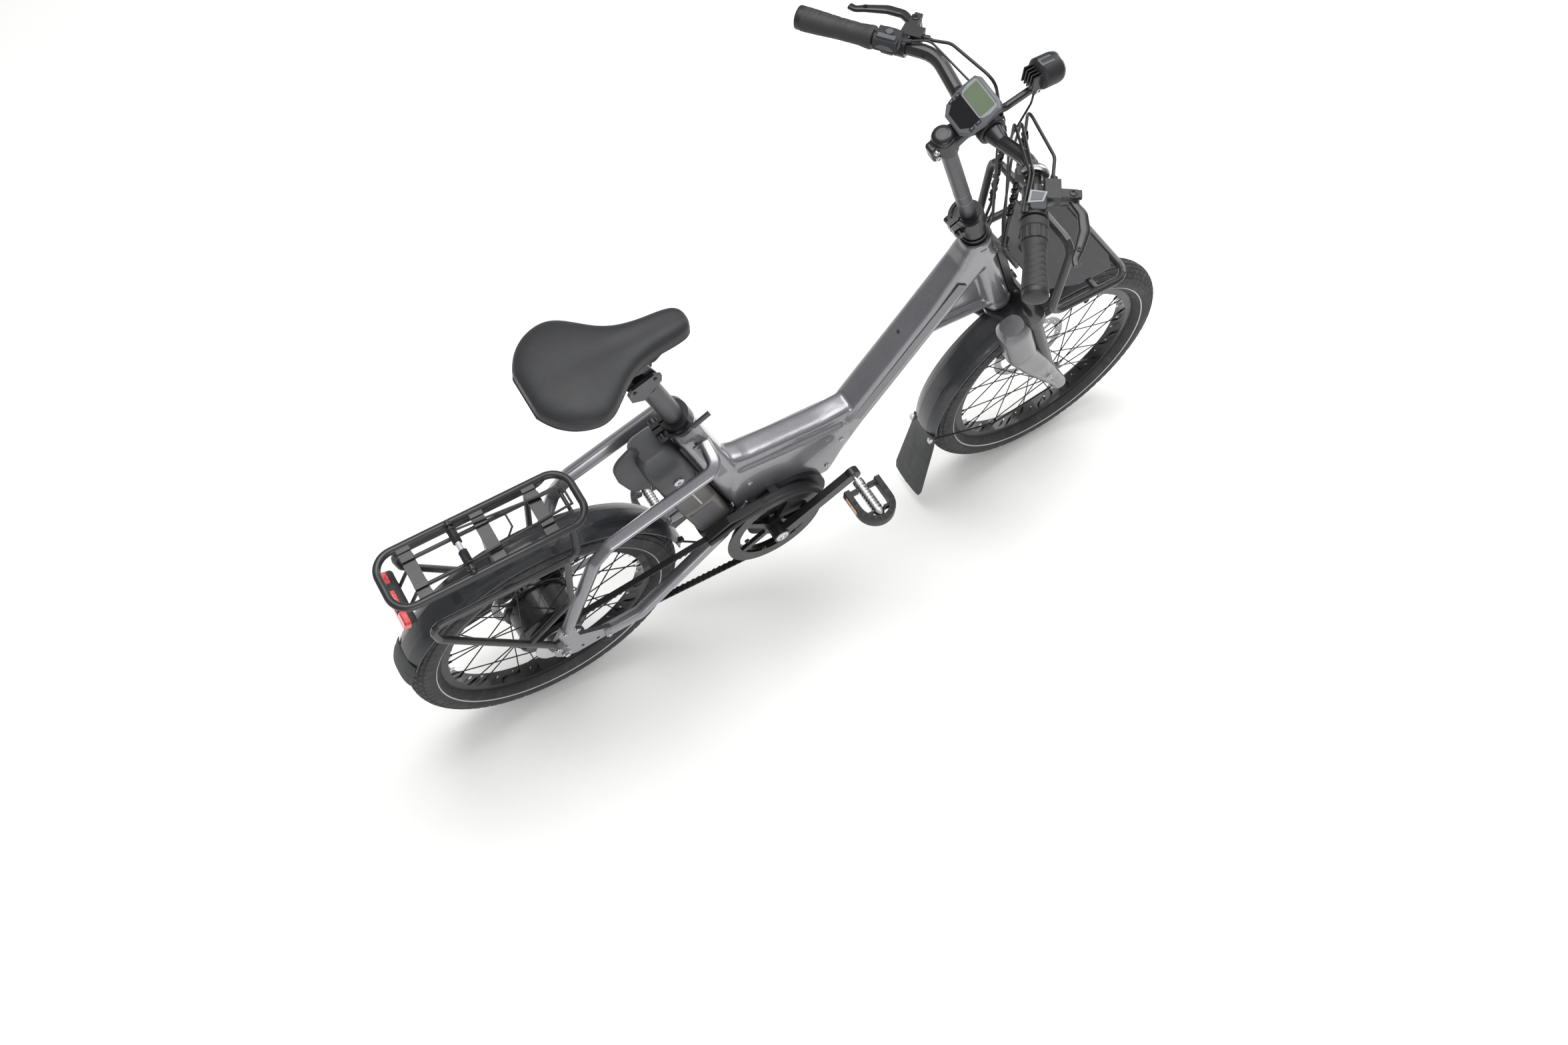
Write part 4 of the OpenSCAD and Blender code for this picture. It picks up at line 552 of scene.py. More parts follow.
seat_foot, seat_neck = on_seat(396), on_seat(682)
beam_a, beam_b = on_seat(474), DOWN_LOW + DOWN * 0.092
cradle = [(362, 402), (376, 482), (470, 470), (588, 462), (610, 430), (580, 350), (566, 324), (536, 324),
    (480, 332), (408, 340), (372, 356)]
gusset_low, gusset_high = on_steer(0, 0, 371), DOWN_TOP - (DOWN_TOP - DOWN_LOW) * 0.42
solids = [
    lathe([(25.5, 357), (26.5, 360), (26.5, 368), (24.4, 377), (24.2, 470), (24.4, 573), (26.5, 582), (26.5, 590),
    (25.5, 593)], STEER, STEER_UP, 40),
    along(DOWN_LOW, DOWN_TOP + DOWN * 0.004, [(0, 31, 33), (0.2, 28.5, 29), (0.7, 27.5, 28), (0.9, 25, 33),
    (1, 23, 40)], Y, 4.6),
    along(beam_a - (beam_b - beam_a).normalized() * 0.01, beam_b,
    [(0, 28, 42), (0.2, 24.5, 28), (0.7, 24, 26.5), (1, 24, 36)], Y, 4.6),
    along(seat_foot, seat_neck, [(0, 31, 27), (0.25, 31, 26), (0.9, 29.5, 24.5), (1, 25, 24)], Y, 4.6),
    lathe([(21.6, 0), (21.6, 27)], on_seat(680), SEAT_UP, 40),
    plate(cradle, 0, 33.5),
    ]
# folded gusset: a lower edge and a thin web above it
solids.append(along(gusset_low, gusset_high, [(0, 18, 5), (1, 18, 5)], Y, 6, 24))
web = [on_steer(0, 0, 371), on_steer(-18, 0, 520), gusset_high]
solids.append(slab(web, Y, 10, 1.0))
weld = merged(solids, 2.8, 5, "paint")
piece("frame_weldment", [weld], "frame", ["main_frame"], 60)
panels = Parts()
for s in (-1, 1):
    panels.add("paint_dark", block(DOWN_LOW + DOWN * 0.236 + DOWN_UP * 0.004 + Y * (0.0272 * s), DOWN, DOWN_UP, Y,
        178, 11.5, 1.3, 1.0))
    panels.add("paint_dark", block(beam_a.lerp(beam_b, 0.56) + Z * 0.004 + Y * (0.0238 * s),
        (beam_b - beam_a).normalized(), Z, Y, 74, 7.5, 1.2, 0.9))
    panels.add("paint_dark", block(on_seat(568, 0, 30.4 * s), SEAT_UP, SEAT_FWD, Y, 70, 9, 1.2, 0.9))
piece("frame_side_panels", panels, "frame", (), 30)
trim = [screw(on_seat(640, 0, 29.5 * s), Y * s, 3, 1.4, "alloy") for s in (-1, 1)]
trim += [screw(at(x, 33.5 * s, z), Y * s, 4.5, 2.6, "steel") for s in (-1, 1)
    for x, z in ((398, 430), (560, 352), (586, 420), (392, 366))]
trim += [screw(DOWN_LOW + DOWN * (0.1 + 0.09 * k) + DOWN_UP * 0.0275, DOWN_UP, 3.2, 1.6, "alloy")
    for k in (2, 3)]
piece("frame_bolts", trim, "frame")
for s, side in ((-1, "right"), (1, "left")):
    upper = rounded([on_seat(624, 10, 29 * s), on_seat(618) + Vector((6 * MM, 73.5 * s * MM, 0)),
        at(112, 73.5 * s, 545), at(82, 73.5 * s, 512), at(14, 71.5 * s, 322)], 22, 8)
    lower = rounded([at(398, 26 * s, 356), at(340, 40 * s, 318), at(248, 53 * s, 274), at(150, 71.5 * s, 242),
        at(78, 71.5 * s, 240)], 26, 8)
    parts = Parts([(*sweep(upper, lambda t: (10.6, 12.5 - 2 * t), 24, 4.4, Z), "paint"),
        (*sweep(lower, lambda t: (10.6, 14 - 3.2 * t), 24, 4.4, Z), "paint"),
        (*lathe([(11, -6), (12.5, -4), (12.5, 5), (10, 7.5)], on_seat(622, 9, 29 * s), Y * s, 24), "paint"),
        screw(on_seat(622, 9, 36 * s), Y * s, 5, 3, "steel"),
        screw(at(84, 82 * s, 240), Y * s, 4.2, 3, "steel"),
        screw(at(30, 79 * s, 318), Y * s, 4.2, 3, "steel"),
        screw(at(6, 79 * s, 322), Y * s, 3.6, 3, "steel")])
    piece(f"{side}_stay_shell", parts, "frame")

# ---- belt cover ----
cover_path = [(438 + 104.5 * cos(radians(a)), 278 + 104.5 * sin(radians(a))) for a in range(14, 117, 6)]
cover_path += [(368, 367), (344, 356), (322, 345), (302, 336)]
cover_out = []
for i, (px, pz) in enumerate(cover_path):
    q = cover_path[min(i + 1, len(cover_path) - 1)]
    o = cover_path[max(i - 1, 0)]
    run = Vector((q[0] - o[0], 0, q[1] - o[1])).normalized()
    out = Vector((run.z, 0, -run.x))
    share = i / (len(cover_path) - 1)
    half = 13.6 * (1 - 0.35 * share ** 3) * min(1.0, 0.55 + share * 5)
    for k in range(15):
        y = -1 + 2 * k / 14
        cover_out.append(at(px, -54.8 + half * y, pz) - out * ((3.2 * abs(y) ** 4 - 3.2) * MM) + out *
            (0.8 * MM * exp(-(((abs(y) - 0.5) / 0.09) ** 2))))


def thin_shell(outer, inner, n):
    """A thin closed shell between two grids of points, each n points wide."""
    m, top = len(outer) // n, len(outer)
    faces = []
    for i in range(m - 1):
        for k in range(n - 1):
            q = (i * n + k, i * n + k + 1, (i + 1) * n + k + 1, (i + 1) * n + k)
            faces += [q, tuple(top + j for j in reversed(q))]
    edge = list(range(n)) + [i * n + n - 1 for i in range(1, m)] + [(m - 1) * n + k for k in range(n - 2, -1, -1)]
    edge += [i * n for i in range(m - 2, 0, -1)]
    for k, a in enumerate(edge):
        b = edge[(k + 1) % len(edge)]
        faces.append((a, b, top + b, top + a))
    return outer + inner, faces


# the cover's inside follows the outside at a smaller radius from the pulley's middle
inside = [p - Vector(((p - BB).x, 0, (p - BB).z)).normalized() * (2.4 * MM) for p in cover_out]
v, f = thin_shell(cover_out, inside, 15)
piece("belt_cover", [(v, f, "plastic")], "frame", (), 40)
rotor = Parts()
for k in range(5):
    rotor.append(screw(BB + outward(radians(30 + 72 * k)) * 0.062 - Y * 0.0635, -Y, 4.6, 3.0, "alloy"))
for s in (-1, 1):
    rotor.add("steel", lathe([(8, 0), (12.5, 0.6), (12.5, 2.2), (9, 3), (7.4, 3), (7, 1.4), (0, 1.2)], BB + Y *
        (0.084 * s), Y * s, 36))
piece("crank_bolts", rotor, "crankset", (), 40)

# ---- stem ----
head = [lathe([(16.6, -22), (17.8, -20), (17.8, 12), (16.8, 14)], on_steer(0, 0, BAR_S), STEER_UP, 40),
    sweep([on_steer(6, 0, BAR_S), on_steer(30, 0, BAR_S), on_steer(46, 0, BAR_S)], lambda t:
    (14.5 + 3 * abs(2 * t - 1) ** 2, 12.5 + 2.5 * abs(2 * t - 1) ** 2), 28, 3.2, STEER_UP),
    lathe([(19, -21), (20.4, -19.5), (20.4, 19.5), (19, 21)], on_steer(STEM_REACH, 0, BAR_S), Y, 44),
    block(on_steer(-20, 0, BAR_S - 3), STEER_FWD, Y, STEER_UP, 8, 10.4, 14.6, 2.4)]
stem_parts = Parts([merged(head, 2.2, 4, "alloy"),
    (*lathe([(12.5, 503.2), (12.5, 860)], STEER, STEER_UP, 40), "grey_alloy"),
    (*lathe([(16.6, 13.4), (17.2, 14.4), (17, 17), (15.4, 20), (11, 22.6), (9.6, 22.7), (9.2, 22), (0, 22.4)],
    on_steer(0, 0, BAR_S), STEER_UP, 44), "alloy"),
    screw(on_steer(-20, -10, BAR_S + 5), -Y, 4.2, 3, "steel"),
    screw(on_steer(-20, -10, BAR_S - 10), -Y, 4.2, 3, "steel")])
for k in (-1, 1):
    stem_parts.add("pale_grey", lathe([(12.75, 0), (12.85, 0.2), (12.85, 1.0), (12.75, 1.2)],
        on_steer(0, 0, 720 + 12 * k), STEER_UP, 40))
for y in (-14, 14):
    for k in (-1, 1):
        stem_parts.append(screw(on_steer(STEM_REACH + 17, y, BAR_S + 9 * k), STEER_FWD, 3.2, 3, "steel"))
piece("stem_post_and_head", stem_parts, "bars", ["stem_tube"], 45)

# ---- saddle ----
SADDLE_X0, SADDLE_Z, SADDLE_L = 48.9, 920.3, 256
RIB = [(0.0, 0.40, 27), (0.03, 0.56, 33), (0.08, 0.74, 37), (0.16, 0.90, 39.5), (0.27, 0.985, 39.5),
    (0.36, 0.93, 38),
    (0.45, 0.74, 36), (0.53, 0.55, 34.5), (0.62, 0.41, 34), (0.74, 0.325, 34.5), (0.88, 0.285, 35.5),
    (0.95, 0.245, 34), (0.985, 0.175, 30), (1.0, 0.09, 25)]


def rib_at(t):
    """Half width and crown height of the saddle at t along it, in mm, on a smooth curve."""
    i = max(k for k in range(len(RIB)) if RIB[k][0] <= t + 1e-9)
    i = min(i, len(RIB) - 2)
    p0, p1, p2, p3 = (RIB[max(i - 1, 0)], RIB[i], RIB[i + 1], RIB[min(i + 2, len(RIB) - 1)])
    f = (t - p1[0]) / (p2[0] - p1[0])

    def cubic(k):
        m1 = (p2[k] - p0[k]) / max(p2[0] - p0[0], 1e-6) * (p2[0] - p1[0])
        m2 = (p3[k] - p1[k]) / max(p3[0] - p1[0], 1e-6) * (p2[0] - p1[0])
        return ((2 * f ** 3 - 3 * f * f + 1) * p1[k] + (f ** 3 - 2 * f * f + f) * m1 + (3 * f * f - 2 * f ** 3) *
            p2[k] + (f ** 3 - f * f) * m2)

    return cubic(1) * 95, cubic(2)


def saddle_ring(t, n=56):
    w, h = rib_at(t)
    ring = []
    for k in range(n):
        a = 2 * pi * k / n
        c, s = cos(a), sin(a)
        y = w * copysign(abs(c) ** 0.72, c)
        if s >= 0:
            z = 10 + (h - 10) * s ** 0.5
            # the crown falls a little towards the middle line, and the edge carries a raised seam
            z -= 1.6 * exp(-((y / 11) ** 2)) * min(1, 4 * t * (1 - t))
            if 0.28 < s < 0.36:
                y *= 1.008
        else:
            z = 10 + 7 * s
            y *= 1 - 0.1 * abs(s)
        ring.append(at(SADDLE_X0 + SADDLE_L * t, y, SADDLE_Z + z))
    return ring


steps = [0.0, 0.008, 0.02, 0.035, 0.055, 0.08, 0.11, 0.15] + [0.19 + 0.04 * k for k in range(18)] \
    + [0.9, 0.925, 0.945, 0.962, 0.975, 0.985, 0.993, 1.0]
v, f = skin([saddle_ring(t) for t in steps])
saddle = piece("saddle_cover", [(v, f, "cover")], "saddle", ["saddle_pad"], 75)
sub = saddle.modifiers.new("soft", "SUBSURF")
sub.levels = sub.render_levels = 1


def skirt(z, out):
    """The loop round the saddle's lower edge, z mm above its foot and out mm outside it."""
    loop = []
    for side, row in ((1, range(61)), (-1, range(60, -1, -1))):
        for k in row:
            t = k / 60
            nose = 0.6 if side > 0 and t == 1 else 0
            w = rib_at(t)[0] + out
            loop.append(at(SADDLE_X0 + SADDLE_L * t + nose, side * w * 0.985, SADDLE_Z + z))
    return loop


edge_pts = skirt(7.0, -1.2)
piece("saddle_edge_trim", [(*sweep(edge_pts + edge_pts[:1], (1.3, 2.0), 8, 3, Z), "plastic")], "saddle")

# ---- tyres ----
TYRE_R, TYRE_T = 260.0, 29.5


def tyre(name, centre, body, node_name):
    """A tyre with a block tread, ribbed shoulders and a pale line on each sidewall."""
    around, across = ((480, 72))
    verts, lines, dark = [], [], []
    wrap_angle = 2 * pi * 0.86

    def phi_at(k):
        """The angle round the section at share k of the points across it."""
        return -pi * 0.86 + wrap_angle * k / (across - 1)

    def put(ang, phi, rr):
        verts.append(polar(centre, ang, TYRE_R - TYRE_T + rr * cos(phi), rr * sin(phi)))

    for i in range(around):
        ang = 2 * pi * i / around
        for k in range(across):
            arc = phi_at(k) * TYRE_T
            depth = 0.0
            if abs(arc) < 33:
                row = int((arc + 33) // 9.43)
                u = ang / (2 * pi) * 80 + (0.5 if row % 2 else 0) + 0.35 * abs(arc) / 33
                between_rows = abs(((arc + 33) / 9.43) % 1 - 0.5) > 0.39
                between_lugs = abs(u % 1 - 0.5) > 0.41
                depth = 2.0 if (between_rows or between_lugs) else 0.0
            elif abs(arc) < 44:
                depth = 1.0 if (i * 192 // around) % 2 else 0.25
            elif 57 < abs(arc) < 59.5:
                depth = -0.3
            put(ang, phi_at(k), TYRE_T - 0.1 - depth)
    # inner skin so that the carcass has a thickness
    base = len(verts)
    for i in range(around):
        for k in range(across):
            put(2 * pi * i / around, phi_at(k), TYRE_T - 4.0)
    for i in range(around):
        j = (i + 1) % around
        for k in range(across - 1):
            pale = 57.2 < abs(phi_at(k + 0.5) * TYRE_T) < 59.6
            (lines if pale else dark).append((i * across + k, i * across + k + 1, j * across + k + 1, j * across + k))
    for i in range(around):
        j = (i + 1) % around
        for k in range(across - 1):
            dark.append((base + i * across + k, base + j * across + k, base + j * across + k + 1, base + i * across
                + k + 1))
        for k in (0, across - 1):
            dark.append((i * across + k, base + i * across + k, base + j * across + k, j * across + k))
    o = piece(name, [(verts, dark, "tyre"), (verts, lines, "reflex")], body, [node_name], 24)
    clean(o.data, 1e-6, loose=True)


tyre("rear_tyre_tread", REAR, "rear_wheel", "rear_tyre")
tyre("front_tyre_tread", FRONT, "front_wheel", "front_tyre")
for where, body, tag in ((REAR, "rear_wheel", "rear"), (FRONT, "front_wheel", "front")):
    nips = Parts()
    for k in range(32):
        out = outward(2 * pi * (k + 0.5) / 32)
        nips.add("steel", lathe([(1.9, 0), (2.1, 2), (1.7, 8), (1.2, 11)], where + out * 0.1915 + Y *
            (2.2 * MM * (1 if k % 2 else -1)), -out, 10))
    valve = outward(1.08)
    nips.add("tyre", lathe([(4.5, 0), (4.5, 4), (3, 6), (3, 24), (3.8, 25), (3.8, 33), (2.6, 35)], where + valve *
        0.1912, -valve, 20))
    piece(f"{tag}_nipples_and_valve", nips, body)

# ---- front fork ----
def raked(s, side, back=0.0):
    """Middle of a fork leg at s on the steering axis: it leans forward towards the axle."""
    f = min(max((s - 10) / 225, 0), 1)
    return on_steer(46 - 56 * f + back, 61 * side, s)


def leg(side, sizes, top, bottom, n=36, power=2.5):
    rings = []
    for i in range(29):
        s = top + (bottom - top) * i / 28
        wide, deep = between(sizes, s)
        rings.append(oval(raked(s, side), STEER_FWD, Y, wide, deep, power, n))
    return skin(rings)


shell_sizes = [(288, 25, 22.6), (252, 25.4, 22.8), (248, 28.5, 25), (170, 27, 23), (110, 22.5, 18.5), (60, 18, 14),
    (20, 15, 11), (-8, 12, 9)]
leg_sizes = [(288, 20, 20), (200, 20, 20), (196, 17.5, 17.5), (110, 17, 17), (60, 15, 13), (20, 13, 10), (-8, 11, 8)]
fork_parts = Parts([
    merged([leg(-1, shell_sizes, 288, -8), lathe([(15, 0), (16, 2), (16, 8), (13, 10)], FRONT + Y * (-0.0625), Y, 28)],
        2.6, 4, "shell"),
    merged([leg(1, leg_sizes, 288, -8), lathe([(14, 0), (15, 2), (15, 8), (13, 10)], FRONT + Y * 0.0525, Y, 28)],
        2.6, 4, "leg")])
arch = rounded([raked(262, -1, 20), raked(300, -1, 27) + Y * 0.012, raked(300, 1, 27) - Y * 0.012,
    raked(262, 1, 20)], 26, 8)
fork_parts.add("leg", sweep(arch, (8, 7), 20, 3.4, X))
for s in (-1, 1):
    wiper = raked(287, s)
    fork_parts.add("tyre", lathe([(19, -2), (23 if s < 0 else 20.5, 0), (22 if s < 0 else 19.5, 5), (19.6, 7),
        (18.6, 7)], wiper, STEER_UP, 36))
    fork_parts.append(screw(FRONT + Y * (0.061 * s), Y * s, 7, 5, "steel"))
    fork_parts.add("steel", lathe([(4.6, 0), (4.6, 12)], FRONT + Y * (0.05 * s), Y * s, 24))
fork_parts.add("steel", lathe([(2.2, 0), (5, 0.4), (5, 2.4), (3.2, 3), (3.2, 5.2), (2, 6)], raked(104, -1) - Y *
    0.0175, -Y, 24))
# two fine raised lines that run down the shell
for off in (-7.5, 7.5):
    line = [raked(s, -1, off * (0.3 + 0.7 * (s - 20) / 150)) - Y * ((11.6 + 9.2 * min(1, (s - 20) / 130)) * MM)
        for s in range(30, 171, 10)]
    fork_parts.add("leg", sweep(line, (0.55, 0.5), 8, 2, Y))
fork_parts.add("leg", block(on_steer(14, 56, 108), STEER_FWD, Y, STEER_UP, 14, 6, 30, 2))
piece("fork_legs", fork_parts, "fork_slider", ["fork_lowers"], 50)
crown_parts = []
for s in (-1, 1):
    wide, deep = (29, 26.2) if s < 0 else (25, 24)
    outer, inner_wall = [], []
    for i in range(10):
        t = i / 9
        c = on_steer(-10, 61 * s, 353 - 101 * t)
        dome = sqrt(max(0.0, 1 - (1 - min(1, t * 5)) ** 2)) if t < 0.2 else 1.0
        outer.append(oval(c, STEER_FWD, Y, wide * (0.72 + 0.28 * dome), deep * (0.72 + 0.28 * dome), 2.5, 40))
        inner_wall.append(oval(c, STEER_FWD, Y, wide * 0.92 - 0.4, deep * 0.92 - 0.2, 2.5, 40))
    crown_parts.append((*skin(outer + inner_wall[:0:-1]), "shell" if s < 0 else "leg"))
piece("fork_upper_sleeves", crown_parts, "fork")

# ---- front mud flap ----
def around_front(a, r, y):
    return polar(FRONT, radians(a), r, y)


flap_out = []
for i in range(15):
    t = i / 14
    if t < 0.2:
        mid, w = around_front(184 + 30 * t, FENDER_R + 1.8, 0), 34 + 10 * t
    else:
        u = (t - 0.2) / 0.8
        mid = around_front(190, FENDER_R + 1.8, 0).lerp(FRONT + X * (-284 * MM) + Z * (-226 * MM), u)
        w = 36 + 9 * u if u < 0.93 else 44.4 - 60 * (u - 0.93)
    for k in range(17):
        y = -1 + 2 * k / 16
        curl = 7 * abs(y) ** 3 * (1 - 0.6 * t)
        ridge = 0.9 * exp(-(((abs(y) - 0.75 * (1 - t)) / 0.08) ** 2)) if t > 0.3 else 0
        fold = 1.6 * exp(-(((t - 0.24) / 0.03) ** 2))
        flap_out.append(mid + X * ((curl - ridge - fold) * MM) + Y * (w * y * MM))
flap = thin_shell(flap_out, [p + X * (2.2 * MM) for p in flap_out], 17)


def fender_skin(centre, r0, half, a0, a1, steps, drop=11.0):
    """A fender's curved shell: rounded across, with a rolled edge."""
    outer = []
    for i in range(steps + 1):
        out = outward(radians(a0 + (a1 - a0) * i / steps))
        for k in range(25):
            y = -1 + 2 * k / 24
            r = r0 - drop * abs(y) ** 2.6 + (0.8 if abs(y) > 0.94 else 0)
            r += 0.7 * exp(-(((abs(y) - 0.42) / 0.05) ** 2))
            outer.append(centre + out * (r * MM) + Y * (half * y * MM))
    inner = [centre + (p - centre) + (centre + Y * (p.y - centre.y) - p).normalized() * (1.8 * MM) for p in outer]
    return thin_shell(outer, inner, 25)


def from_front(x, y, z):
    """A point in metres from the front axle's middle."""
    return FRONT + X * x + Y * y + Z * z


wire_parts = Parts()
for s in (-1, 1):
    wire = rounded([from_front(-0.2725, 0.032 * s, -0.0286), from_front(-0.150, 0.064 * s, -0.02),
        from_front(-0.014, 0.0595 * s, -0.003)], 10, 5)
    wire_parts.add("spoke", sweep(wire, 1.8, 10))
    wire_parts.add("bare", block(from_front(-0.2735, 0.0305 * s, -0.03), X, Y, Z, 4, 5, 7, 1.2))
    wire_parts.append(screw(from_front(-0.014, 0.0605 * s, -0.0026), Y * s, 4, 2.4, "steel"))
piece("front_fender_shell", [(*fender_skin(FRONT, FENDER_OUT, FENDER_HALF, 80, 188, 60), "fender"), (*flap, "flap"),
    (*block(around_front(100, 269, 0), X, Y, Z, 9, 9, 5, 1.5), "alloy")] + wire_parts, "fork_slider",
    ["front_fender"], 45)

# ---- battery ----
BAT = on_seat(384) - SEAT_FWD * ((24 + 6 + 35) * MM)


def bat(x, y, z):
    return BAT + SEAT_FWD * (x * MM) + Y * (y * MM) + SEAT_UP * (z * MM)


def case(rows, power):
    return skin([oval(bat(x, 0, z), SEAT_FWD, Y, a, b, power, 40) for z, x, a, b in rows])


low_case = case([(0, 0, 32, 38), (3, 0, 34, 41), (96, 0, 34.6, 41.6), (98, 0, 33.8, 40.8), (100, 0, 34.6, 41.6),
    (196, 0, 34.6, 41.8)], 7)
hood = case([(197, 0, 33.6, 40.8), (199, 0, 34.8, 42), (232, 0, 34.8, 42), (262, 0, 34.4, 40), (292, 1, 32, 34),
    (304, 2, 28, 30), (311, 3, 22, 24)], 5)
handle = rounded([bat(-24, 0, 206), bat(-42, 0, 222), bat(-45, 0, 262), bat(-40, 0, 294), bat(-12, 0, 304)], 13, 6)
bat_parts = Parts([(*low_case, "battery_side"), (*hood, "battery_top"),
    (*sweep(handle, (29, 4.6), 28, 5, Y), "battery_top")])
for s in (-1, 1):
    bat_parts.add("light_line", block(bat(6, 41.8 * s, 148), SEAT_FWD, SEAT_UP, Y, 1.6, 44, 0.8, 0.4))
    bat_parts.add("battery_top", block(bat(-2, 41.7 * s, 60), SEAT_FWD, SEAT_UP, Y, 24, 26, 0.7, 0.5))
for k in range(5):
    bat_parts.add("battery_top", block(bat(-35, 0, 120 + 10 * k), Y, SEAT_UP, SEAT_FWD, 24, 1.4, 0.9, 0.4))
bat_parts.add("screen", block(bat(-35.4, 0, 178), Y, SEAT_UP, SEAT_FWD, 17, 5, 0.9, 0.6))
bat_parts.add("bare", lathe([(9, 0), (9, 2.2), (7.6, 3), (3.4, 3), (3.2, 1.6), (0, 1.6)], bat(4, -42, 222), -Y, 28))
piece("battery_pack", bat_parts, "battery", ["battery_case"], 40)

# ---- display ----
BAR_MID = on_steer(STEM_REACH, 0, BAR_S)
DISP = BAR_MID + mm(-12, 0, 20)
RX = Matrix.Rotation(radians(-40), 3, "Y") @ Matrix.Rotation(radians(-3), 3, "Z")
DX, DY, DZ = RX @ X, RX @ Y, RX @ Z


def disp(x, y, z):
    return DISP + DX * (x * MM) + DY * (y * MM) + DZ * (z * MM)


def octagon(a, b, cut, z, x0=0.0):
    return [disp(x0 + x, y, z) for x, y in ((-a, -b + cut * 1.6), (-a + cut, -b + cut * 0.5), (0, -b),
        (a - cut * 0.5, -b + cut * 0.2), (a, -b + cut), (a, b - cut), (a - cut * 0.5, b - cut * 0.2), (0, b),
        (-a + cut, b - cut * 0.5), (-a, b - cut * 1.6))]


body_rings = [octagon(31, 31, 10, -1), octagon(34.4, 34.4, 11, 2), octagon(36.6, 36.4, 11, 7),
    octagon(36, 35.8, 11, 10.6),
    octagon(33.4, 33.4, 10, 12.6), octagon(31.4, 31.4, 9, 12.8)]
disp_parts = Parts([(*skin(body_rings), "grey"),
    (*slab(octagon(15.5, 30, 5, 12.9, 15.0), DZ, 1.2, 0.4), "pale_grey"),
    (*slab(octagon(13.4, 24.5, 2, 13.5, 15.4), DZ, 1.0, 0.3), "lcd"),
    (*slab([disp(x, y, 13.3) for x, y in ((0, -26), (0, 26), (-18, 24), (-29, 15), (-29, -15), (-18, -24))], DZ,
    1.2, 0.3), "screen")])
for s in (-1, 1):
    for k in (0, 1):
        disp_parts.add("plastic", block(disp(-4 - 12 * k, 27.4 * s, 11.6), DX, DY, DZ, 4.8, 3.0, 2.2, 1.0))
        disp_parts.add("pale_grey", block(disp(-4 - 12 * k, 27.4 * s, 13.7), DX, DY, DZ, 1.8, 0.6, 0.3, 0.1))
    disp_parts.add("plastic", sweep(rounded([BAR_MID + mm(-14, 28 * s, 2), BAR_MID + mm(-8, 27 * s, 17),
        disp(4, 24 * s, 1)], 8, 5), (6, 4), 16, 4, Y))
    disp_parts.add("plastic", lathe([(20.6, -6), (21.6, -5), (21.6, 5), (20.6, 6), (16.2, 6), (16.2, -6)], BAR_MID +
        Y * (28 * s * MM), Y, 40))
    disp_parts.append(screw(BAR_MID + mm(19, 28 * s, 6), Vector((0.9, 0, 0.4)), 3, 3, "steel"))
piece("cockpit_display", disp_parts, "bars", ["display"], 30)

# ---- headlight ----
LAMP = BAR_MID + mm(92, 0, 34)
lamp_parts = Parts([(*lathe([(13, -3), (19, -1), (23, 4), (23, 27), (22.4, 31), (21, 34), (19.8, 34), (19.6, 31),
    (0, 31)], LAMP, X, 44), "plastic"),
    (*lathe([(19.6, 30), (19.6, 34.2), (17, 35.4), (9, 36), (0.2, 36.2)], LAMP, X, 44), "clear"),
    (*lathe([(20, 31.5), (21.4, 33.4), (21.4, 35), (20.2, 35.6), (19.4, 34.8)], LAMP, X, 44), "bare")])
for i in range(5):
    fin = LAMP + mm(-7, -12.8 + i * 6, -1)
    lamp_parts.add("alloy", block(fin, X, Z, Y, 8.5, 13, 1.2, 0.5))
lamp_parts.add("grey", block(LAMP + mm(12, 0, 21.4), X, Y, Z, 11, 7, 1.3, 0.8))
arm = rounded([BAR_MID + mm(14, 0, 2), BAR_MID + mm(46, 0, -6), LAMP + mm(-4, 0, -27), LAMP + mm(10, 0, -22)], 14,
    6)
lamp_parts += [(*sweep(arm, (6, 4.6), 16, 4, Y), "alloy"),
    screw(LAMP + mm(4, -6, -26), -Y, 4, 3, "steel"),
    (*lathe([(7.5, -6.5), (8.2, -5.5), (8.2, 5.5), (7.5, 6.5)], LAMP + mm(5, 0, -25), Y, 28), "alloy")]
piece("head_lamp", lamp_parts, "bars", ["headlight"], 36)

# ---- grips and levers ----
GRIP_AT, GRIP_DIR, GRIP_FWD = at(734.1, 197.3, 1094.9), Vector((-0.5650, 0.8221, -0.0698)), Vector((0.8241, 0.5664,
    0))
GRIP_Y = GRIP_DIR.cross(GRIP_FWD)


def grip(side, x, y, z):
    """A point in the grip's frame: z outwards along it, x forward, y down."""
    p = GRIP_AT + GRIP_DIR * (z * MM) + GRIP_FWD * (x * MM) + GRIP_Y * (y * MM)
    return p if side > 0 else Vector((p.x, -p.y, p.z))


def grip_axes(side):
    axes = (GRIP_FWD, GRIP_Y, GRIP_DIR)
    return axes if side > 0 else tuple(Vector((v.x, -v.y, v.z)) for v in axes)


def leaf(a, z, length):
    """Depth in mm of the grip's leaf-shaped folds at angle a and z mm along."""
    d = 0.0
    for k in range(7):
        mid = 10 + k * (length - 18) / 7
        bend = mid + 9 * abs(sin(a / 2 + 0.4))
        d = max(d, exp(-(((z - bend) / 1.1) ** 2)) * (0.35 + 0.65 * abs(cos(a / 2 + 0.4))))
    return d * 0.75


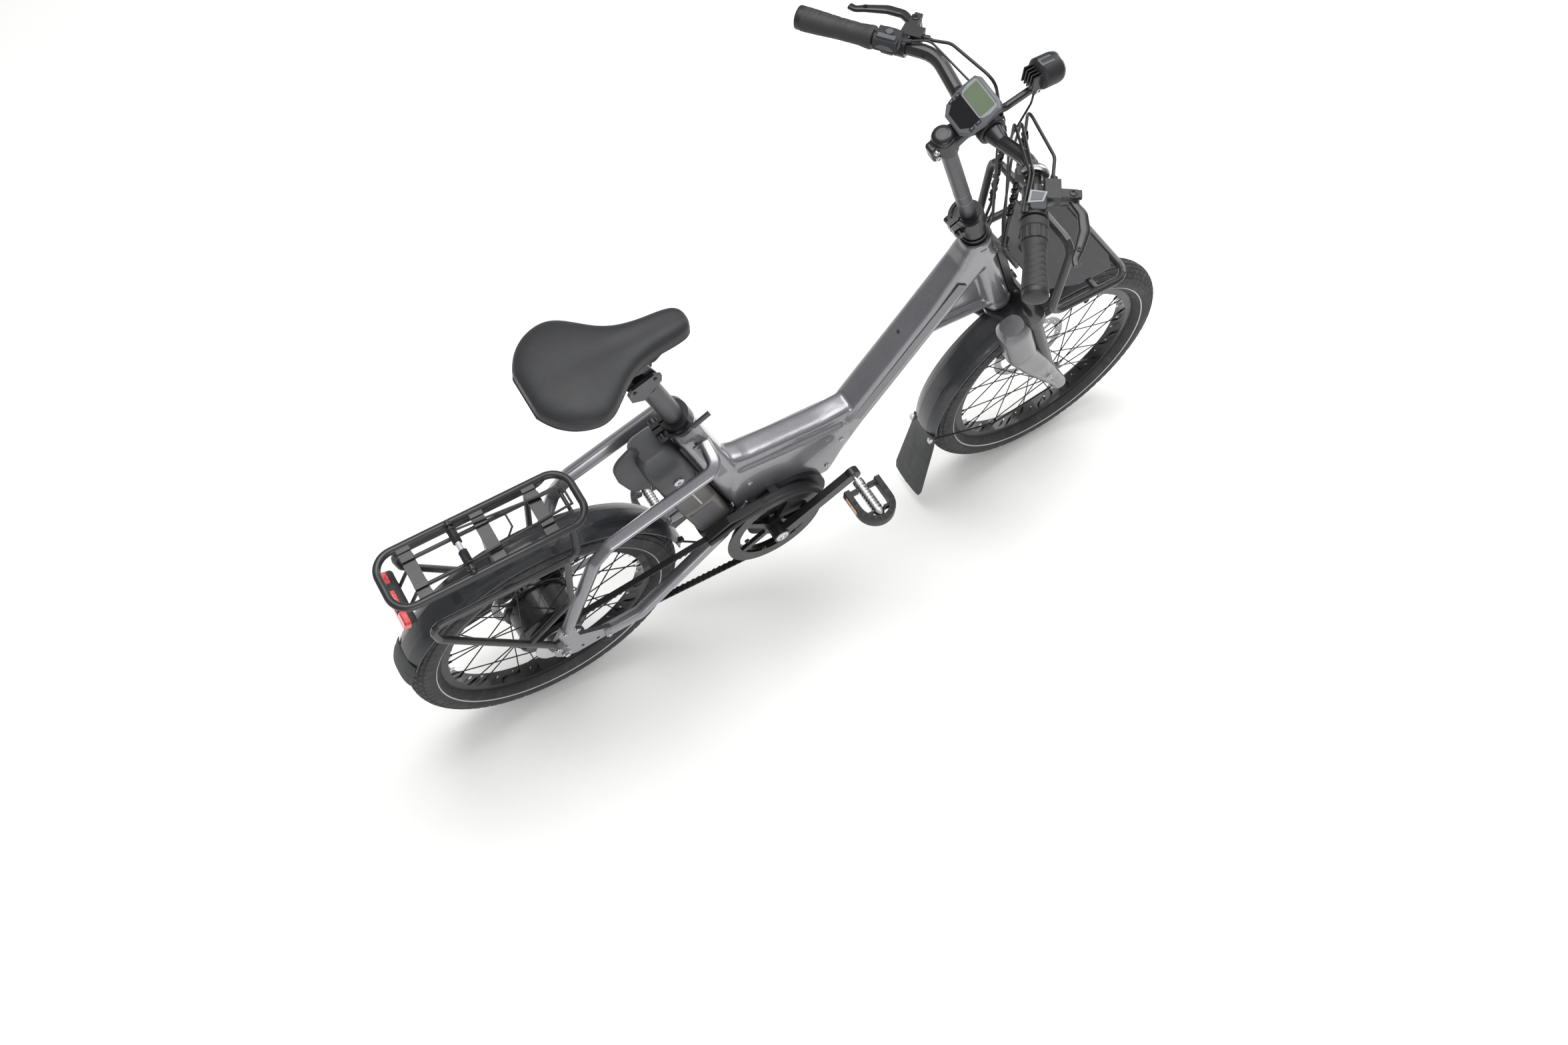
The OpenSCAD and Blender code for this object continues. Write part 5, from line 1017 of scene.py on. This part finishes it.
grip_parts = Parts()
for s in (-1, 1):
    gx, gy, gz = grip_axes(s)
    start = 35 if s < 0 else 0
    length = 122 - start
    prof = [(0, 16.9), (0.02, 17.6), (0.05, 17.4), (0.18, 15.7), (0.45, 15.8), (0.7, 17.2), (0.85, 17.8), (1.0, 17.4)]
    rings = []
    for i in range(70):
        t = (1 - 11 / length) * i / 69
        r, = between(prof, t, eased=False)
        ring = []
        for k in range(64):
            a = 2 * pi * k / 64
            # the palm side swells a little towards the outer end
            rr = r + 1.3 * t * max(0, cos(a - pi)) - leaf(a, t * length, length)
            ring.append(grip(s, 0, 0, start + t * length) + gx * (rr * MM * cos(a)) + gy * (rr * MM * sin(a)))
        rings.append(ring)
    grip_parts.add("grip", skin(rings))
    cap = grip(s, 0, 0, start + length - 11.4)
    grip_parts.add("plastic", lathe([(16, 0), (17.8, 0.8), (17.9, 8), (17, 9.6), (13, 11.4), (7, 12.2),
        (0.2, 12.4)], cap, gz, 40))
    grip_parts.append(screw(cap + gx * (17.2 * MM) + gz * (4.4 * MM), gx, 2.6, 1.4, "steel"))
piece("hand_grips", grip_parts, "bars", ["grips"], 50)
gx, gy, gz = grip_axes(-1)
twist_rings = []
for i in range(30):
    t = i / 29
    ring = []
    for k in range(72):
        a = 2 * pi * k / 72
        r = (19.6 if 0.08 < t < 0.42 else 18.1) - (0.7 if t in (0, 1) else 0)
        r += 0.5 * copysign(1, sin(12 * a)) * (1 if t > 0.46 else 0) * (0 if t > 0.97 else 1)
        ring.append(grip(-1, 0, 0, 34 * t) + gx * (r * MM * cos(a)) + gy * (r * MM * sin(a)))
    twist_rings.append(ring)
piece("twist_grip_sleeve", [(*skin(twist_rings), "grip")], "twist_grip", ["twist_shifter"], 30)
win = [grip(-1, x, -22, z) for x, z in ((-13, -14), (9, -17), (15, -34), (-9, -36))]
ctrl = Parts([(*slab(win, gy, 3, 0.8), "pale_grey"),
    (*slab([p - gy * (1.7 * MM) + (sum(win, Vector()) / 4 - p) * 0.3 for p in win], gy, 0.8, 0.2), "grey"),
    (*lathe([(12, -13), (19, -12), (20, -9), (20, -1.2), (18, -0.4)], grip(-1, 0, 0, -1), gz, 44), "plastic"),
    (*block(grip(-1, 2, -18, -20), gx, gy, gz, 12, 4, 14, 2.5), "plastic")])
for s in (-1, 1):
    ax, ay, az = grip_axes(s)
    ctrl += [(*lathe([(15.2, -8.4), (16.2, -7.4), (16.2, 7.4), (15.2, 8.4)], grip(s, 0, 0, -44), az, 40), "alloy"),
        screw(grip(s, 17.6, -6, -48.5), -ay, 2.6, 2.6, "steel"),
        screw(grip(s, 17.6, -6, -39.5), -ay, 2.6, 2.6, "steel"),
        screw(grip(s, 52, -8.6, -44), -ay, 5, 2.2, "alloy")]
    hose = rounded([grip(s, 24, 0, -50), grip(s, 27, 1, -60), grip(s, 29, 1, -76)], 6, 4)
    ctrl.add("cable", sweep(hose, (4.6, 4.6), 16))
    shell = [grip(s, 12, 1, -40), grip(s, 26, 1, -44), grip(s, 44, 2, -45), grip(s, 60, 3, -44)]
    ctrl.add("alloy", sweep(rounded(shell, 20, 6), lambda t: (11.5 - 4 * t, 9.5 - 1.5 * t), 24, 3.2, ay))
ax, ay, az = grip_axes(1)
remote = []
for k in range(9):
    t = k / 8
    remote.append(oval(grip(1, -11 + 2 * t, -9 - 14.2 * t, -26), ax, az, 17 * (1 - 0.12 * t), 20 * (1 - 0.1 * t),
        3.2, 32))
ctrl.add("grey", skin(remote))
ctrl.add("plastic", lathe([(12, -9), (17.4, -8), (17.4, 8), (12, 9)], grip(1, 0, 0, -25), az, 40))
ctrl.add("bare", lathe([(13, -6), (19, -5), (21.8, -1), (21.8, 2), (19, 5), (13, 6)], grip(-1, 0, 0, -78), gz, 48))
ctrl.add("plastic", block(grip(-1, -18, 0, -78), gx, gy, gz, 7, 7, 8, 2))
piece("bar_control_shells", ctrl, "bars", (), 40)
for s, side in ((-1, "right"), (1, "left")):
    ax, ay, az = grip_axes(s)
    path = rounded([grip(s, 52, 4, -40), grip(s, 66, 4, -20), grip(s, 68.5, 6, 6), grip(s, 60, 7, 38),
        grip(s, 54.5, 8, 52), grip(s, 57.5, 8, 62)], 16, 8)
    blade = Parts([(*sweep(path, lambda t: (5.6 + 2.4 * sin(pi * min(1, t * 1.15)) * (1 if t < 0.87 else 0.4), 5.2 -
        1.6 * t), 20, 2.6, ay), "alloy"),
        (*lathe([(5, -2), (8.6, -1), (8.6, 8), (5, 9)], grip(s, 52, 0, -44), ay, 32), "alloy")])
    for k in range(3):
        q = path[int(len(path) * (0.5 + 0.09 * k))]
        blade.add("screen", lathe([(3.4, 0), (3.0, 0.9), (2.2, 0.9), (2.0, 0.2), (0.1, 0.2)], q - ay * (4.2 * MM),
            -ay, 18))
    piece(f"{side}_lever_blade", blade, f"brake_lever_{side}", [f"{side}_brake_lever"], 45)

# ---- cables ----
routes = {
    "brake_right": ([grip(-1, 26, 2, -66.5), grip(-1, 30, 0, -110), on_steer(118, -34, BAR_S - 6),
        on_steer(104, -18, BAR_S - 120), on_steer(52, -20, HEAD_TOP_S + 10), on_steer(30, -27, HEAD_TOP_S - 40)],
        2.5),
    "brake_left": ([grip(1, 26, 2, -66.5), grip(1, 30, 0, -108), on_steer(112, 38, BAR_S - 10),
        on_steer(98, 24, BAR_S - 130), on_steer(50, 26, HEAD_TOP_S + 4), on_steer(30, 30, HEAD_TOP_S - 40)], 2.5),
    "remote": ([grip(1, -6, -14, -46), grip(1, 4, -20, -84), on_steer(80, 22, BAR_S + 12),
        on_steer(84, 12, BAR_S - 96), on_steer(44, 14, HEAD_TOP_S + 2), on_steer(28, 26, HEAD_TOP_S - 50)], 1.7),
    "lamp": ([LAMP + mm(4, 0, -28), LAMP + mm(6, 2, -60), on_steer(70, 4, BAR_S - 140),
        on_steer(38, 6, HEAD_TOP_S - 4), on_steer(27, 22, HEAD_TOP_S - 58)], 1.7),
    }
for k in (0, 1):
    routes[f"shift_{k}"] = ([grip(-1, -13 - 5 * k, -15, -3), grip(-1, -4 - 5 * k, -24, -60),
        on_steer(96 - 8 * k, -52 + 6 * k, BAR_S + 8), on_steer(92 - 8 * k, -12, BAR_S - 110),
        on_steer(46, -12 - 6 * k, HEAD_TOP_S + 6), on_steer(28, -25, HEAD_TOP_S - 46 - 8 * k)], 2.1)
cable_parts = Parts()
for pts, r in routes.values():
    path = rounded(pts, 26, 8)
    cable_parts.add("cable", sweep(path, r, 12))
    a, b = path[0], path[1]
    cable_parts.add("plastic", lathe([(r + 0.4, 0), (r + 1.2, 0.5), (r + 1.2, 12), (r + 0.3, 14)], a, b - a, 16))


def wrap(route, start, end, r, pitch):
    """Spiral sleeve round a length of a route, between the shares start and end."""
    lengths = [0.0]
    for a, b in zip(route, route[1:]):
        lengths.append(lengths[-1] + (b - a).length)
    total = lengths[-1]
    pts, d = [], start * total
    step = pitch * MM / 12
    while d < end * total:
        i = max(k for k in range(len(lengths)) if lengths[k] <= d)
        i = min(i, len(route) - 2)
        f = (d - lengths[i]) / max(lengths[i + 1] - lengths[i], 1e-9)
        t = (route[i + 1] - route[i]).normalized()
        u = t.cross(Y).normalized()
        v = t.cross(u)
        a = 2 * pi * d / (pitch * MM)
        pts.append(route[i].lerp(route[i + 1], f) + u * (r * MM * cos(a)) + v * (r * MM * sin(a)))
        d += step
    return sweep(pts, (0.8, 2.6), 8, 3, Y)


cable_parts.add("cable", wrap(rounded(routes["brake_right"][0], 26, 8), 0.42, 0.86, 3.6, 7.5))
cable_parts.add("cable", wrap(rounded(routes["brake_left"][0], 26, 8), 0.42, 0.88, 3.6, 7.5))
piece("cable_set", cable_parts, "bars", ["control_cables"], 50)

# ---- pedals ----
for s, side in ((-1, "right"), (1, "left")):
    c = Vector(JOINT[f"pedal_{side}_spin"]["pos_m"])
    y_in = 92.0

    def ped(x, y, z):
        return c + X * (x * MM) + Y * (s * (y_in + y) * MM) + Z * (z * MM)

    half, long = 37.0, 96.0
    outline = [(-half, 14)] + [(-half, 14 + (long - half - 14) * k / 3) for k in (1, 2)] \
        + [(-half * cos(pi * k / 18), long - half + half * sin(pi * k / 18)) for k in range(19)] \
        + [(half, 14 + (long - half - 14) * k / 3) for k in (2, 1)] + [(half, 14)]
    inner = [(x * (1 - 10.5 / half), 14 + (y - 14) * (1 - 10.5 / (long - 14)) if y > 20 else y) for x, y in outline]

    def wall(k, z_in):
        x, y = outline[k]
        u, w = inner[k]
        return [ped(x * 0.985, y if y < 20 else y - 0.6, -z_in), ped(x, y, -z_in + 2.4), ped(x, y, z_in - 2.4),
            ped(x * 0.985, y if y < 20 else y - 0.6, z_in), ped(u, w, z_in), ped(u * 0.985, w, z_in - 2),
            ped(u * 0.985, w, -z_in + 2), ped(u, w, -z_in)]

    parts = Parts([(*skin([wall(k, 10.6) for k in range(len(outline))]), "plastic")])
    # raised hatch of the tread, in short bars that change direction
    for z in (-1, 1):
        for k in range(2, len(outline) - 2):
            (x0, y0), (x1, y1) = outline[k], inner[k]
            m = ped((x0 + x1) / 2, (y0 + y1) / 2, z * 10.8)
            across = (ped(x0, y0, 0) - ped(x1, y1, 0)).normalized()
            down = across.cross(Z)
            if k % 2:
                for off in (-2.2, 2.2):
                    parts.add("grip", block(m + down * (off * MM), across, down, Z, 3.7, 0.8, 0.75, 0.25))
            else:
                for off in (-2.4, 0, 2.4):
                    parts.add("grip", block(m + across * (off * MM), across, down, Z, 0.75, 3.0, 0.75, 0.25))
    for x in (-1, 1):
        parts.add("amber", block(ped(x * 37.0, 41, 0), Y, Z, X, 17, 5.4, 0.9, 0.5))
        parts.add("plastic", block(ped(x * 21, 20, 0), X, Y, Z, 12, 3.4, 7, 1.2))
        parts.add("plastic", block(ped(x * 20, 71, 0), X, Y, Z, 9, 3.0, 6, 1.2))
    core = [(5.2, 1), (10, 2), (10.4, 10)]
    for k in range(9):
        core += [(10.2, 12 + 6.4 * k), (10.2, 15 + 6.4 * k), (8.6, 15.8 + 6.4 * k), (8.6, 17.6 + 6.4 * k)]
    core += [(10.2, 70), (9.4, 76), (6, 82), (0.2, 83)]
    parts.add("bare", lathe(core, ped(0, 0, 0), Y * s, 32))
    piece(f"{side}_pedal_cage", parts, f"pedal_{side}", [f"{side}_pedal"], 40)

# ---- rack, light and rear fender ----
tail = at(-221, 0, 561)
tx = Vector((cos(radians(12)), 0, -sin(radians(12))))
tz = Vector((sin(radians(12)), 0, cos(radians(12))))


def lamp_pt(x, y, z):
    return tail + tx * (x * MM) + Y * (y * MM) + tz * (z * MM)


tail_parts = [(*block(lamp_pt(3, 0, 0), Y, tz, tx, 51.5, 11.4, 9, 3), "plastic"),
    (*block(lamp_pt(-7.4, 0, -6.6), Y, tz, tx, 50, 4.4, 2.2, 1.4), "red"),
    (*block(lamp_pt(-7, 0, 3.4), Y, tz, tx, 22, 6, 1.8, 1.2), "screen"),
    (*block(lamp_pt(-7.6, 0, 3.4), Y, tz, tx, 15, 2.4, 1.6, 0.6), "red"),
    (*block(lamp_pt(-4, 0, 10.6), Y, tz, tx, 13, 1.4, 4, 0.8), "red")]
for s in (-1, 1):
    tail_parts += [(*block(lamp_pt(-3, 38 * s, 2.6), Y, tz, tx, 13.8, 9.2, 6.4, 2.4), "red"),
        screw(lamp_pt(11, 26 * s, 2), tx, 3, 3, "steel")]
piece("rear_lamp", tail_parts, "frame", ["tail_light"], 32)
rack_parts = Parts()
for s in (-1, 1):
    rack_parts.add("tube", helix(at(-102, 8 * s, 626), Y * s, 6.6, 1.1, 9, 22))
    rack_parts.add("plastic", lathe([(5, 0), (8, 0.6), (8, 3.4), (5, 4)], at(-102, 31 * s, 626), Y * s, 24))
    rack_parts.add("tube", lathe([(5, 0), (7.2, 0.6), (7.2, 6), (5, 7)], at(-102, 40 * s, 626), Y * s, 24))
    for px in (-180, -56, 34):
        rack_parts.add("tube", block(at(px, 44.6 * s, 619.2), X, Y, Z, 11.6, 6, 1.3, 0.8))
        rack_parts.add("tube", block(at(px, 26 * s, 621), X, Y, Z, 11.4, 5.2, 1.5, 0.9))
    rack_parts.append(screw(at(-14, 87 * s, 296), Y * s, 4.4, 3, "steel"))
rack_parts.add("clear", lathe([(4.6, -8), (4.6, 8)], at(-102, 0, 626), Y, 24))
piece("rack_fittings", rack_parts, "frame", (), 40)
rear_flap_out = []
for i in range(9):
    t = i / 8
    w = 33.5 + 2 * t - (4 * (t - 0.8) if t > 0.8 else 0)
    for k in range(17):
        y = -1 + 2 * k / 16
        r = 277.0 - 7 * abs(y) ** 3 - (1.0 if abs(y) > 0.55 and 0.35 < t < 0.45 else 0)
        rear_flap_out.append(polar(REAR, radians(154 + 11 * t), r, y * w))
rear_flap = thin_shell(rear_flap_out, [p + X * (2.2 * MM) for p in rear_flap_out], 17)
stay_parts = Parts()
for s in (-1, 1):
    a14 = radians(14)
    stay_parts.add("fender", block(REAR + X * (FENDER_R * cos(a14) - 4) * MM + Z * (FENDER_R * sin(a14) + 2) * MM +
        Y * (22 * s * MM), X, Y, Z, 8, 5, 4, 1.2))
    strut_top = REAR + X * ((FENDER_R * cos(a14) - 6) * MM) + Y * (24 * s * MM) + Z * ((FENDER_R * sin(a14) + 4) * MM)
    stay_parts.add("tube", sweep([strut_top, strut_top.lerp(at(306, 43 * s, 311), 0.5), at(306, 43 * s, 311)], 2, 10))
mount = at(-56, 0, 536)
stay_parts.add("steel", lathe([(3, 0), (6, 0.4), (6, 3), (3, 4)], mount, Z, 24))
piece("rear_fender_shell", [(*fender_skin(REAR, FENDER_OUT, FENDER_HALF, 14, 158, 80), "fender"),
    (*rear_flap, "flap")] + stay_parts, "frame", ["rear_fender"], 45)
